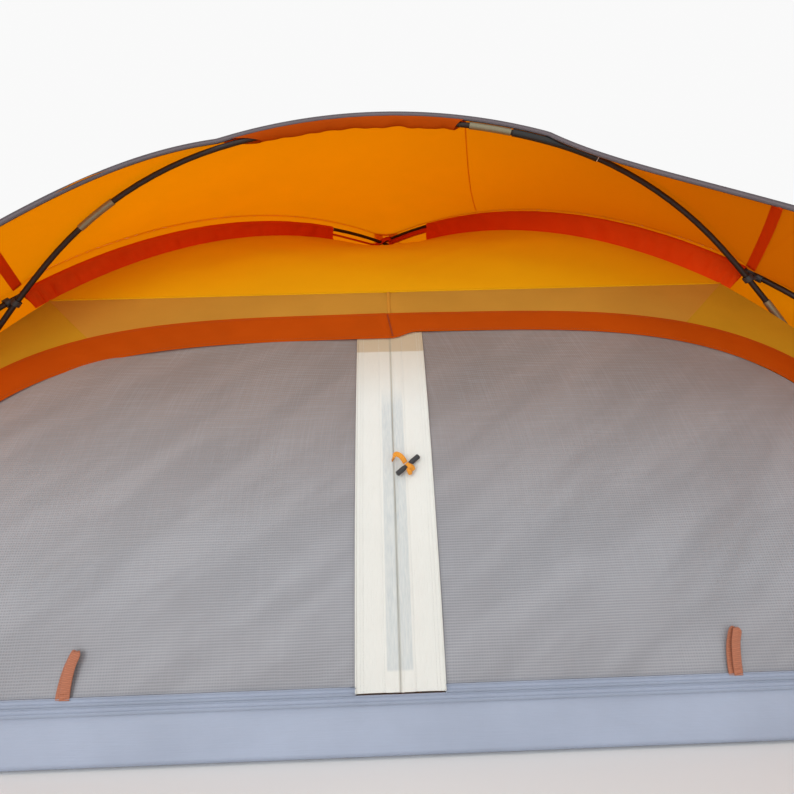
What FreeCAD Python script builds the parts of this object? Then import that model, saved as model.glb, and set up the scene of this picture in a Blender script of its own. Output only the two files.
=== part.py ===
"""Dome tent with a brow pole over its mesh door.

Millimetres, +Z up.  The origin is on the ground under the middle of the tent, and the
door faces -Y.  Two crossed poles carry the inner tent, a third pole (the brow pole)
carries the front of the rainfly, and the two door leaves are closed by one upright zip.
"""
import FreeCAD, Part
import math
import os

from FreeCAD import Placement, Rotation, Vector

# alias, value, what it is
DIMENSIONS = [
    ("apex_height", 1236.8, "middle of the upper crossed pole above the ground"),
    ("pole_arc_radius", 1646, "bending radius of both crossed poles"),
    ("pole_diameter", 11, "glass-fibre tube"),
    ("pole_bore", 7, "bore of the tube, for the shock cord"),
    ("pole_crossing_drop", 13, "how much lower the second crossed pole passes"),
    ("pole_foot_height", 25, "where the tube ends and its metal tip begins"),
    ("cross_sections", 7, "tubes in one crossed pole"),
    ("ferrule_diameter", 14, "metal sleeve over two tube ends"),
    ("ferrule_length", 90, ""),
    ("ferrule_play", 0.1, "running play of a ferrule over a tube"),
    ("cord_diameter", 3, "shock cord inside the tubes"),
    ("tip_diameter", 6, "metal pin at each pole's end"),
    ("brow_top", 1131.9, "middle of the brow pole above the ground"),
    ("brow_hub_front", 806, "how far the brow pole stands forward at its hubs"),
    ("brow_hub_height", 789, "height of the hubs"),
    ("brow_tilt", 6.72, "forward lean of the brow pole's plane, degrees"),
    ("brow_crown_radius", 1263.9, ""),
    ("brow_crown_angle", 16.16, "slope where the crown arc ends, degrees"),
    ("brow_shoulder_radius", 778.3, ""),
    ("brow_shoulder_angle", 49.02, "slope where the shoulder arc ends, degrees"),
    ("brow_leg_radius", 2045.5, ""),
    ("guard_diameter", 14.6, "thick grip tube on the brow pole"),
    ("fabric", 1.5, "thickness given to every cloth panel"),
    ("panel_gap", 1, "seam gap left between neighbouring panels"),
    ("floor_half", 1090, "half width of the floor"),
    ("seam_half", 754, "half width of the inner tent at the roof seam"),
    ("seam_height", 785, "height of the roof seam"),
    ("wall_radius", 1900, "outward bow of the walls"),
    ("roof_height", 1186, "height the four roof panels run up to"),
    ("roof_sag", 40, "how far the middle of a roof panel hangs below its edges"),
    ("sill_height", 80, "top of the waterproof tub floor"),
    ("door_half", 860, "half width of the door opening"),
    ("door_height", 590.4, "door opening above the sill"),
    ("door_power", 3.8, "squareness of the door outline"),
    ("band_width", 53, "cloth band round the door opening"),
    ("header_half", 620, "half width of the lower edge of the header panel"),
    ("placket_width", 65, "white strip each side of the zip"),
    ("tape_width", 13, "woven tape beside the zip teeth"),
    ("coil_width", 2.2, "one row of zip teeth"),
    ("zip_gap", 2.4, "free gap in the middle of the closed zip"),
    ("zip_low", 122, "lower end of the zip above the ground"),
    ("zip_high", 660, "upper end of the zip above the ground"),
    ("pull_height", 413, "where the zip slider rests"),
    ("toggle_length", 50, ""),
    ("toggle_diameter", 9, ""),
    ("sleeve_radius", 9.2, "outside of the tunnel round a pole"),
    ("sleeve_bore", 8, "inside of the tunnel round a pole"),
    ("fly_clearance", 14, "fly over the crossed poles' centre line"),
    ("fly_flare_radius", 2400, "how slowly the fly's sides steepen below the hubs"),
    ("fly_hem_height", 150, "lower edge of the fly"),
    ("fly_overhang", 12, "fly in front of the brow pole"),
    ("wing_toe_side", 1290, "front corner of the fly, sideways"),
    ("wing_toe_front", 1400, "front corner of the fly, forwards"),
    ("strap_width", 20, "webbing"),
    ("strap_thickness", 1.6, "webbing"),
]

doc = FreeCAD.newDocument("dome_tent")
sheet = doc.addObject("Spreadsheet::Sheet", "dims")
for row, (alias, value, note) in enumerate(DIMENSIONS, start=1):
    sheet.set(f"A{row}", alias)
    sheet.set(f"B{row}", str(value))
    sheet.set(f"C{row}", note)
    sheet.setAlias(f"B{row}", alias)
doc.recompute()


def dim(alias):
    return float(sheet.get(alias))


ROOT2 = math.sqrt(2)
LEFT, RIGHT = -1, 1
SIDES = (("left", LEFT), ("right", RIGHT))
kept = []


def keep(thing, label):
    """Name a sub-part; its label is also its file name."""
    thing.Label = label
    kept.append(thing)
    return thing


def feature(label, shape, yaw=0):
    """A sub-part whose shape is worked out here, from dimensions in the sheet."""
    thing = doc.addObject("Part::Feature", label)
    thing.Shape = shape
    thing.Placement = Placement(Vector(), Rotation(Vector(0, 0, 1), yaw))
    return keep(thing, label)


def primitive(kind, name, **sizes):
    """A Part primitive whose sizes are bound to expressions."""
    thing = doc.addObject(kind, name)
    for key, expression in sizes.items():
        thing.setExpression(key, str(expression))
    return thing


def cut(name, base, tool):
    thing = doc.addObject("Part::Cut", name)
    thing.Base = base
    thing.Tool = tool
    return thing


def group(label, pieces):
    """Identical separate solids that share one node."""
    thing = doc.addObject("Part::Compound", label)
    thing.Links = pieces
    return keep(thing, label)


# ---------------------------------------------------------------- the tent's curves

def wall_centre():
    """Middle of the wall's arc, as (half width, height)."""
    low, high, rise = dim("floor_half"), dim("seam_half"), dim("seam_height")
    chord = math.hypot(low - high, rise)
    inset = math.sqrt(dim("wall_radius") ** 2 - (chord / 2) ** 2)
    return ((low + high) / 2 - rise / chord * inset,
            rise / 2 - (low - high) / chord * inset)


WALL_CENTRE_R, WALL_CENTRE_Z = wall_centre()


def wall_half(z):
    """Half width of the inner tent's walls at height z: an outward-bowed arc."""
    fall = z - WALL_CENTRE_Z
    return WALL_CENTRE_R + math.sqrt(dim("wall_radius") ** 2 - fall ** 2)


def roof_height_at(half):
    """Height of the roof's edges, which lie under the crossed poles."""
    reach = ROOT2 * dim("seam_half")
    drop = dim("roof_height") - dim("seam_height")
    radius = (reach ** 2 + drop ** 2) / (2 * drop)
    return dim("roof_height") - radius + math.sqrt(radius ** 2 - 2 * half ** 2)


def cross_centre_height():
    return dim("apex_height") - dim("pole_arc_radius")


def cross_point(angle, side, offset=0, drop=0):
    """Point on a crossed pole's front leg, at an angle from straight up."""
    reach = (dim("pole_arc_radius") + offset) * math.sin(angle)
    height = cross_centre_height() + (dim("pole_arc_radius") + offset) * math.cos(angle)
    return Vector(side * reach / ROOT2, -reach / ROOT2, height - drop)


def cross_angle(height, offset=0):
    return math.acos((height - cross_centre_height()) / (dim("pole_arc_radius") + offset))


HUB_ANGLE = cross_angle(dim("brow_hub_height"))


def fly_ridge(angle_or_height, side, below):
    """Ridge of the fly over a front leg: by angle above the hub, by height below it."""
    offset = dim("fly_clearance")
    if not below:
        return cross_point(angle_or_height, side, offset)
    hub = cross_point(HUB_ANGLE, side, offset)
    radius = dim("fly_flare_radius")
    slope = math.acos(math.cos(HUB_ANGLE) - (hub.z - angle_or_height) / radius)
    reach = ROOT2 * abs(hub.x) + radius * (math.sin(slope) - math.sin(HUB_ANGLE))
    return Vector(side * reach / ROOT2, -reach / ROOT2, angle_or_height)


def brow_arcs():
    """The brow pole's half, from its top outwards: (radius, start slope, end slope)."""
    crown = math.radians(dim("brow_crown_angle"))
    shoulder = math.radians(dim("brow_shoulder_angle"))
    tilt = math.radians(dim("brow_tilt"))
    fall = dim("brow_crown_radius") * (1 - math.cos(crown))
    fall += dim("brow_shoulder_radius") * (math.cos(crown) - math.cos(shoulder))
    left = (dim("brow_top") - dim("pole_foot_height")) / math.cos(tilt) - fall
    foot = math.acos(math.cos(shoulder) - left / dim("brow_leg_radius"))
    return [(dim("brow_crown_radius"), 0.0, crown),
            (dim("brow_shoulder_radius"), crown, shoulder),
            (dim("brow_leg_radius"), shoulder, foot)]


def brow_plane(across, fall):
    """From the brow pole's own plane (sideways, down from the top) to the tent."""
    tilt = math.radians(dim("brow_tilt"))
    height = dim("brow_top") - fall * math.cos(tilt)
    front = dim("brow_hub_front") + (height - dim("brow_hub_height")) * math.tan(tilt)
    return Vector(across, -front, height)


def brow_flat(slope, offset=0):
    """Sideways and downward place on the brow pole where it has this slope."""
    across = fall = 0.0
    for radius, start, end in brow_arcs():
        part_end = min(abs(slope), end)
        if part_end > start:
            across += radius * (math.sin(part_end) - math.sin(start))
            fall += radius * (math.cos(start) - math.cos(part_end))
    side = math.copysign(1, slope)
    return (side * (across + offset * math.sin(abs(slope))),
            fall - offset * math.cos(slope))


def brow_point(slope, offset=0):
    return brow_plane(*brow_flat(slope, offset))


def brow_slope_at(across):
    """Slope of the brow pole at a sideways distance."""
    low, high = 0.0, brow_arcs()[-1][2]
    for _ in range(40):
        middle = (low + high) / 2
        if brow_flat(middle)[0] < abs(across):
            low = middle
        else:
            high = middle
    return math.copysign(low, across)


def door_outline(turn, grow=0.0):
    """Door edge as (x, z): turn 0 is the top, +-90 degrees the sill ends."""
    power = 2 / dim("door_power")
    x = (dim("door_half") + grow) * abs(math.sin(turn)) ** power
    z = (dim("door_height") + grow) * abs(math.cos(turn)) ** power
    return math.copysign(x, turn), dim("sill_height") + z


def on_front(x, z, out=0.0):
    """Point on the front wall, a distance outside its surface."""
    return Vector(x, -(wall_half(z) + out), z)


# ---------------------------------------------------------------- making solids

def solid_sheet(point, across, along, thickness):
    """Closed sheet: a surface through point(u, v), thickened along one direction."""
    grid = [[point(i / across, j / along) for j in range(along + 1)]
            for i in range(across + 1)]
    surface = Part.BSplineSurface()
    surface.interpolate(grid)
    solid = surface.toShape().extrude(thickness)
    if solid.Volume < 0:
        solid.reverse()
    return solid


def ring_face(centre, direction, outer, inner):
    face = Part.Face(Part.Wire(Part.makeCircle(outer / 2, centre, direction)))
    if not inner:
        return face
    return face.cut(Part.Face(Part.Wire(Part.makeCircle(inner / 2, centre, direction))))


def brow_tube(start, end, outer, inner):
    """Tube along the brow pole between two slopes, one exact torus piece per arc."""
    across_line = brow_point(0)
    down = (brow_plane(0, 1) - across_line).normalize()
    normal = down.cross(Vector(1, 0, 0))
    bounds = sorted({angle for _, low, high in brow_arcs()
                     for angle in (low, high, -low, -high)})
    stops = [start] + [b for b in bounds if start < b < end] + [end]
    pieces = []
    for first, last in zip(stops, stops[1:]):
        middle = (first + last) / 2
        radius = next(r for r, low, high in brow_arcs() if low <= abs(middle) <= high)
        x, fall = brow_flat(first)
        centre = brow_plane(x - radius * math.sin(first), fall + radius * math.cos(first))
        tangent = Vector(math.cos(first), 0, 0) + down * math.sin(first)
        face = ring_face(brow_plane(x, fall), tangent, outer, inner)
        turn = math.degrees(last - first)
        piece = face.revolve(centre, normal, turn)
        wanted = brow_plane(*brow_flat(last))
        if piece.distToShape(Part.Vertex(wanted))[0] > outer:
            piece = face.revolve(centre, normal, -turn)
        pieces.append(piece)
    tube = pieces[0]
    for piece in pieces[1:]:
        tube = tube.fuse(piece)
    return tube.removeSplitter().Solids[0]


# ---------------------------------------------------------------- crossed poles

FOOT_ANGLE = math.degrees(cross_angle(dim("pole_foot_height")))
SECTION_GAP = 0.04      # degrees left open between two tube ends


def arc_placement(yaw, start, drop):
    """Stand a torus upright in the plane turned by yaw, starting at an angle."""
    turn = Rotation(Vector(0, 0, 1), yaw)
    turn = turn.multiply(Rotation(Vector(1, 0, 0), 90))
    turn = turn.multiply(Rotation(Vector(0, 0, 1), start))
    return Placement(Vector(0, 0, cross_centre_height() - drop), turn)


def arc_tube(name, yaw, start, sweep, outer, inner, drop):
    """Hollow or solid torus piece; its diameters are expressions on the sheet."""
    body = primitive("Part::Torus", f"{name}_outside", Radius1="dims.pole_arc_radius",
                     Radius2=f"({outer}) / 2")
    body.Angle3 = sweep
    body.Placement = arc_placement(yaw, start, drop)
    if not inner:
        return body
    bore = primitive("Part::Torus", f"{name}_bore", Radius1="dims.pole_arc_radius",
                     Radius2=f"({inner}) / 2")
    bore.Angle3 = sweep
    bore.Placement = arc_placement(yaw, start, drop)
    return cut(name, body, bore)


def crossed_pole(name, yaw, drop):
    count = int(dim("cross_sections"))
    low = 90 - FOOT_ANGLE
    step = 2 * FOOT_ANGLE / count
    tubes = [arc_tube(f"{name}_tube_{i}", yaw, low + i * step + SECTION_GAP / 2,
                      step - SECTION_GAP, "dims.pole_diameter", "dims.pole_bore", drop)
             for i in range(count)]
    group(f"{name}_sections", tubes)
    span = math.degrees(dim("ferrule_length") / dim("pole_arc_radius"))
    ferrules = [arc_tube(f"{name}_ferrule_{i}", yaw, low + i * step - span / 2, span,
                         "dims.ferrule_diameter",
                         "dims.pole_diameter + 2 * dims.ferrule_play", drop)
                for i in range(1, count)]
    group(f"{name}_ferrules", ferrules)
    cord = arc_tube(f"{name}_cord", yaw, low, 2 * FOOT_ANGLE, "dims.cord_diameter", None,
                    drop)
    keep(cord, f"{name}_shock_cord")


crossed_pole("cross_pole_upper", -45, 0)
crossed_pole("cross_pole_lower", 45, dim("pole_crossing_drop"))


# ---------------------------------------------------------------- brow pole

BROW_FOOT = brow_arcs()[-1][2]
GUARD_JOINT = 228       # sideways place of the joint beside the guard
BROW_JOINT_PLACES = (-960, -615, -193, GUARD_JOINT, 845)
brow_joints = [brow_slope_at(across) for across in BROW_JOINT_PLACES]
brow_stops = [-BROW_FOOT] + brow_joints + [BROW_FOOT]
GUARD_END = 458         # sideways place of the guard's outer end
END_PLAY = 0.0004       # radians left open between two tube ends


def brow_radius(slope):
    return next(r for r, low, high in brow_arcs() if low <= abs(slope) <= high)


def brow_sleeve(middle, length, outer, inner):
    half = length / 2 / brow_radius(middle)
    return brow_tube(middle - half, middle + half, outer, inner)


feature("brow_pole_sections", Part.makeCompound(
    [brow_tube(first + END_PLAY, last - END_PLAY, dim("pole_diameter"), dim("pole_bore"))
     for first, last in zip(brow_stops, brow_stops[1:])]))
feature("brow_pole_ferrules", Part.makeCompound(
    [brow_sleeve(joint, dim("ferrule_length"), dim("ferrule_diameter"),
                 dim("pole_diameter") + 2 * dim("ferrule_play")) for joint in brow_joints]))
feature("brow_pole_shock_cord",
        brow_tube(-BROW_FOOT, BROW_FOOT, dim("cord_diameter"), 0))
guard_start = brow_slope_at(GUARD_JOINT + dim("ferrule_length") / 2 + 3)
guard_end = brow_slope_at(GUARD_END)
feature("brow_pole_guard",
        brow_tube(guard_start, guard_end, dim("guard_diameter"),
                  dim("pole_diameter") + 2 * dim("ferrule_play")))


# ---------------------------------------------------------------- pole tips and corners

TIP_LENGTH = 22


def tip_solid(end, direction):
    """Metal tip: a collar that closes the tube and a pin below it."""
    collar = Part.makeCylinder(dim("pole_diameter") / 2, 3, end + direction * 0.2, direction)
    pin = Part.makeCylinder(dim("tip_diameter") / 2, TIP_LENGTH, end + direction * 3.2,
                            direction)
    return collar.fuse(pin).removeSplitter()


def cross_foot(side, front, drop):
    angle = math.radians(FOOT_ANGLE)
    point = cross_point(angle, side, 0, drop)
    reach = math.cos(angle) / ROOT2
    direction = Vector(side * reach, -reach, -math.sin(angle))
    if not front:
        point.y = -point.y
        direction.y = -direction.y
    return point, direction


corner_feet = []
for front in (True, False):
    for side in (LEFT, RIGHT):
        upper = (side == RIGHT) == front
        drop = 0 if upper else dim("pole_crossing_drop")
        corner_feet.append(cross_foot(side, front, drop))
brow_feet = []
for _, side in SIDES:
    foot = brow_point(side * BROW_FOOT)
    before = brow_point(side * (BROW_FOOT - 0.001))
    brow_feet.append((foot, (foot - before).normalize()))
all_feet = corner_feet + brow_feet


def trimmed_above_ground(shape):
    slab = Part.makeBox(4000, 4000, 400, Vector(-2000, -2000, 0.5))
    return shape.common(slab)


feature("pole_tips", Part.makeCompound(
    [trimmed_above_ground(tip_solid(end, direction)) for end, direction in all_feet]))

EYELET_OUTER = 18
EYELET_HOLE = 11
EYELET_FLANGE = 1.2
TAB_HALF = 15
TAB_THICK = 2.4
TAB_HOLE = EYELET_OUTER - 5


def ground_hit(end, direction):
    """Where a pole tip's line meets the ground."""
    return end + direction * (end.z / -direction.z)


def corner_tab(end, direction):
    """Flat webbing tab from the floor's edge out to a pole tip, with a round hole."""
    place = ground_hit(end, direction)
    if abs(abs(place.x) - abs(place.y)) < 200:
        out = Vector(math.copysign(1, place.x), math.copysign(1, place.y), 0).normalize()
        root = ROOT2 * dim("floor_half")
    else:
        out = Vector(math.copysign(1, place.x), 0, 0)
        root = dim("floor_half")
    reach = place.dot(out)
    side = Vector(-out.y, out.x, 0)
    middle = side * place.dot(side)
    near = middle + out * (root + dim("panel_gap"))
    far = middle + out * (reach + EYELET_OUTER)
    corners = [near - side * TAB_HALF, far - side * TAB_HALF,
               far + side * TAB_HALF, near + side * TAB_HALF]
    tab = Part.Face(Part.makePolygon(corners + corners[:1])).extrude(Vector(0, 0, TAB_THICK))
    hole = Part.makeCylinder(TAB_HOLE / 2, 6, place + Vector(0, 0, -2))
    return tab.cut(hole), place


tabs = [corner_tab(end, direction) for end, direction in all_feet]
feature("pole_foot_tabs", Part.makeCompound([tab for tab, _ in tabs]))


def eyelet_solid(place):
    flange = Part.makeCylinder(EYELET_OUTER / 2, EYELET_FLANGE,
                               place + Vector(0, 0, TAB_THICK))
    barrel = Part.makeCylinder(TAB_HOLE / 2 - 0.1, TAB_THICK + EYELET_FLANGE - 0.4,
                               place + Vector(0, 0, 0.4))
    hole = Part.makeCylinder(EYELET_HOLE / 2, 8, place + Vector(0, 0, -1))
    return flange.fuse(barrel).cut(hole).removeSplitter()


feature("foot_eyelets", Part.makeCompound([eyelet_solid(place) for _, place in tabs]))


# ---------------------------------------------------------------- tub floor

def tub_floor():
    """Open waterproof tray: a tapered pad with a tapered pocket."""
    body = doc.addObject("PartDesign::Body", "tub_floor_body")
    planes = {item.Role: item for item in body.Origin.OriginFeatures}
    lean = math.degrees(math.atan2(dim("floor_half") - wall_half(dim("sill_height")),
                                   dim("sill_height")))

    def square(name, inset, lift):
        sketch = body.newObject("Sketcher::SketchObject", name)
        sketch.AttachmentSupport = [(planes["XY_Plane"], "")]
        sketch.MapMode = "FlatFace"
        sketch.AttachmentOffset = Placement(Vector(0, 0, lift), Rotation())
        half = dim("floor_half") - inset
        corners = [Vector(-half, -half, 0), Vector(half, -half, 0),
                   Vector(half, half, 0), Vector(-half, half, 0)]
        for first, last in zip(corners, corners[1:] + corners[:1]):
            sketch.addGeometry(Part.LineSegment(first, last), False)
        return sketch

    pad = body.newObject("PartDesign::Pad", "tub_pad")
    pad.Profile = square("tub_outline", 0, 0)
    pad.setExpression("Length", "dims.sill_height")
    pad.TaperAngle = -lean
    pocket = body.newObject("PartDesign::Pocket", "tub_hollow")
    pocket.Profile = square("tub_inside", dim("fabric") * 1.5, dim("fabric"))
    pocket.setExpression("Length", "dims.sill_height")
    pocket.TaperAngle = -lean
    pocket.Reversed = True
    return keep(body, "tub_floor")


tub_floor()


# ---------------------------------------------------------------- inner tent

THIN = dim("fabric")
GAP = dim("panel_gap")
SAMPLES_WIDE = 8
SAMPLES_HIGH = 6


def blend(first, last, share):
    return first + (last - first) * share


def wall_panel(u, v):
    """Rear-type wall before it is turned: y is negative."""
    z = blend(dim("sill_height") + GAP, dim("seam_height") - GAP, v)
    half = wall_half(z) - 2 * GAP
    return Vector(half * (2 * u - 1), -wall_half(z), z)


def roof_panel(u, v):
    """Roof quarter: its middle hangs below the edges under the poles."""
    half = blend(14, dim("seam_half"), v)
    sag = dim("roof_sag") * math.sin(math.pi * half / dim("seam_half"))
    side = 2 * u - 1
    z = roof_height_at(half) - sag * (1 - side ** 2) + GAP
    return Vector((half - GAP) * side, -half, z)


for name, degrees in (("front", 0), ("right", 90), ("rear", 180), ("left", 270)):
    roof = solid_sheet(roof_panel, SAMPLES_WIDE, SAMPLES_WIDE, Vector(0, 0, THIN))
    feature(f"roof_{name}", roof, degrees)
    if name != "front":
        wall = solid_sheet(wall_panel, SAMPLES_WIDE, SAMPLES_HIGH, Vector(0, THIN, 0))
        feature(f"wall_{name}", wall, degrees)

BAND_TURN = next(math.radians(turn / 10) for turn in range(10, 900)
                 if door_outline(math.radians(turn / 10), dim("band_width"))[0]
                 > dim("header_half"))


def header_panel(u, v):
    """Lens-shaped panel between the door band and the roof seam."""
    side = 2 * u - 1
    turn = math.asin(math.sin(BAND_TURN) * abs(side) ** (dim("door_power") / 2))
    low_x, low_z = door_outline(turn, dim("band_width") + GAP)
    low_x = math.copysign(low_x, side)
    high_x = (dim("seam_half") - 2 * GAP) * side
    z = blend(low_z, dim("seam_height") - GAP, v)
    return on_front(blend(low_x, high_x, v), z)


feature("door_header", solid_sheet(header_panel, 2 * SAMPLES_WIDE, 4, Vector(0, THIN, 0)))


def band_panel(u, v):
    """Cloth band that follows the door's edge from sill to sill."""
    turn = (2 * u - 1) * math.pi / 2
    x, z = door_outline(turn, blend(GAP, dim("band_width") - GAP, v))
    return on_front(x, max(z, dim("sill_height") + GAP))


feature("door_band", solid_sheet(band_panel, 44, 3, Vector(0, THIN, 0)))

for name, side in SIDES:
    def corner_panel(u, v, side=side):
        """Fixed cloth between the door band and the tent's front corner."""
        turn = blend(math.pi / 2, BAND_TURN, v)
        inner_x, inner_z = door_outline(turn, dim("band_width") + GAP)
        inner_z = max(inner_z, dim("sill_height") + GAP)
        outer_z = blend(dim("sill_height") + GAP, dim("seam_height") - 2 * GAP, v)
        outer_x = wall_half(outer_z) - 2 * GAP
        return on_front(side * blend(inner_x, outer_x, u), blend(inner_z, outer_z, u))

    feature(f"front_corner_{name}",
            solid_sheet(corner_panel, 5, 16, Vector(0, THIN, 0)))


# ---------------------------------------------------------------- door leaves and zip

DOOR_EDGE = 36          # mesh stops here under the white strip
STRIP_THIN = 1.4
MESH_THIN = 1.5
CORNER_TURN = math.pi / 4


def door_leaf(side):
    """One mesh leaf: four edge curves blended, centre, sill, outer edge and top."""
    low = dim("sill_height") + 2 * GAP

    def edge(turn):
        x, z = door_outline(turn, -GAP)
        return Vector(x, 0, z)

    def top(u):
        start = edge(0)
        start.x = DOOR_EDGE
        if u == 0:
            return start
        return edge(max(CORNER_TURN * u ** 0.53, 0.065))

    def point(u, v):
        bottom = Vector(blend(DOOR_EDGE, edge(math.pi / 2).x, u), 0, low)
        upper = top(u)
        outer = edge(blend(math.pi / 2, CORNER_TURN, v))
        outer.z = max(outer.z, low)
        inner = Vector(DOOR_EDGE, 0, blend(low, top(0).z, v))
        along = bottom * (1 - v) + upper * v
        beside = inner * (1 - u) + outer * u
        square = (Vector(DOOR_EDGE, 0, low) * (1 - u) * (1 - v)
                  + Vector(edge(math.pi / 2).x, 0, low) * u * (1 - v)
                  + top(0) * (1 - u) * v + top(1) * u * v)
        flat = along + beside - square
        return on_front(side * flat.x, flat.z)

    return solid_sheet(point, 10, 10, Vector(0, MESH_THIN, 0))


def upright_strip(side, near, far, low, high, out, thin):
    """Narrow strip that follows the front wall's curve beside the zip."""
    def point(u, v):
        return on_front(side * blend(near, far, u), blend(low, high, v), out)

    return solid_sheet(point, 1 + 2, SAMPLES_HIGH, Vector(0, thin, 0))


COIL_DEPTH = 1.2        # teeth start this far inside the wall's surface
TAPE_DEPTH = 1.8
TAPE_THIN = 1.0
half_gap = dim("zip_gap") / 2
door_low = dim("sill_height") + 2 * GAP
door_high = dim("sill_height") + dim("door_height") - 2 * GAP
for name, side in SIDES:
    feature(f"door_mesh_{name}", door_leaf(side))
    feature(f"door_strip_{name}",
            upright_strip(side, half_gap, dim("placket_width"), door_low, door_high,
                          STRIP_THIN + 0.3, STRIP_THIN))
    coil_edge = half_gap + dim("coil_width")
    feature(f"zip_coil_{name}",
            upright_strip(side, half_gap, coil_edge, dim("zip_low"), dim("zip_high"),
                          -COIL_DEPTH, dim("coil_width")))
    feature(f"zip_tape_{name}",
            upright_strip(side, coil_edge + 0.3, coil_edge + dim("tape_width"),
                          dim("zip_low") - 15, door_high - 2, -TAPE_DEPTH, TAPE_THIN))


# ---------------------------------------------------------------- slider, ribbon, toggle

pull = on_front(0, dim("pull_height"))
wall_lean = math.degrees(math.atan2(pull.z - WALL_CENTRE_Z, -pull.y - WALL_CENTRE_R))
wall_out = Vector(0, -math.cos(math.radians(wall_lean)), math.sin(math.radians(wall_lean)))
wall_up = Vector(0, math.sin(math.radians(wall_lean)), math.cos(math.radians(wall_lean)))


SLIDER_DEPTH = 5.2      # slider's back face inside the wall's surface
SLIDER_PLAY = 0.4
SLIDER_BRIDGE = 0.6     # wall between the two plates, in the gap between the teeth


def slider_body():
    """Slider behind the right-hand strip: a pad with a channel for the teeth."""
    body = doc.addObject("PartDesign::Body", "slider_body")
    planes = {item.Role: item for item in body.Origin.OriginFeatures}
    outline = body.newObject("Sketcher::SketchObject", "slider_outline")
    outline.AttachmentSupport = [(planes["XY_Plane"], "")]
    outline.MapMode = "FlatFace"
    near, far, half = -SLIDER_BRIDGE, 7.6, 7.0
    corners = [Vector(near, -half, 0), Vector(far - 2, -half, 0),
               Vector(far, -half + 4, 0), Vector(far, half - 3, 0),
               Vector(far - 3, half, 0), Vector(near, half, 0)]
    for first, last in zip(corners, corners[1:] + corners[:1]):
        outline.addGeometry(Part.LineSegment(first, last), False)
    pad = body.newObject("PartDesign::Pad", "slider_pad")
    pad.Profile = outline
    pad.Length = SLIDER_DEPTH - 0.2
    channel = body.newObject("Sketcher::SketchObject", "slider_channel_outline")
    channel.AttachmentSupport = [(planes["XZ_Plane"], "")]
    channel.MapMode = "FlatFace"
    left, right = half_gap - SLIDER_PLAY, half_gap + dim("coil_width") + SLIDER_PLAY
    top = SLIDER_DEPTH - COIL_DEPTH + SLIDER_PLAY
    bottom = SLIDER_DEPTH - COIL_DEPTH - dim("coil_width") - SLIDER_PLAY
    tape_top = SLIDER_DEPTH - TAPE_DEPTH + SLIDER_PLAY
    tape_bottom = SLIDER_DEPTH - TAPE_DEPTH - TAPE_THIN - SLIDER_PLAY
    corners = [Vector(left, bottom, 0), Vector(right, bottom, 0),
               Vector(right, tape_bottom, 0), Vector(far + 1, tape_bottom, 0),
               Vector(far + 1, tape_top, 0), Vector(right, tape_top, 0),
               Vector(right, top, 0), Vector(left, top, 0)]
    for first, last in zip(corners, corners[1:] + corners[:1]):
        channel.addGeometry(Part.LineSegment(first, last), False)
    pocket = body.newObject("PartDesign::Pocket", "slider_channel")
    pocket.Profile = channel
    pocket.Type = "ThroughAll"
    pocket.Midplane = True
    upright = Rotation(Vector(1, 0, 0), 90 - wall_lean)
    outward = upright.multVec(Vector(0, 0, 1))
    body.Placement = Placement(pull - outward * SLIDER_DEPTH, upright)
    return keep(body, "zip_slider")


slider_body()

RIBBON_THIN = 1.0
RIBBON_WIDE = 9.0


def ribbon(points, wide, thin, across):
    """Flat ribbon swept along rounded runs, its width kept along one direction."""
    path = Part.BSplineCurve()
    path.buildFromPoles([Vector(*point) for point in points], False, 3)
    steps = 14
    rows = [path.value(path.FirstParameter + (path.LastParameter - path.FirstParameter)
                       * i / steps) for i in range(steps + 1)]

    def point(u, v):
        row = rows[round(v * steps)]
        return row + across * (wide * (u - 0.5))

    surface = Part.BSplineSurface()
    surface.interpolate([[point(i / 2, j / steps) for j in range(steps + 1)]
                         for i in range(3)])
    solid = surface.toShape().makeOffsetShape(thin, 0.01, fill=True)
    if solid.ShapeType != "Solid":
        solid = Part.Solid(Part.Shell(solid.Faces))
    if solid.Volume < 0:
        solid.reverse()
    return solid



def by_wall(across, out, up):
    """Point beside the slider: sideways, out from the wall and up along it."""
    return pull + Vector(across, 0, 0) + wall_out * out + wall_up * up


toggle_middle = by_wall(24, 10, -12)
toggle_line = (Vector(0.77, 0, 0) + wall_up * 0.64).normalize()
ribbon_across = (Vector(0.35, 0, 0) + wall_up * 0.94).normalize()
ribbon_route = [by_wall(0, 3, 0), by_wall(1, 12, 3), by_wall(7, 19, 5),
                by_wall(14, 19, -1), by_wall(18.5, 13.5, -6)]
feature("pull_ribbon", ribbon(ribbon_route, RIBBON_WIDE, RIBBON_THIN, ribbon_across))


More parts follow.
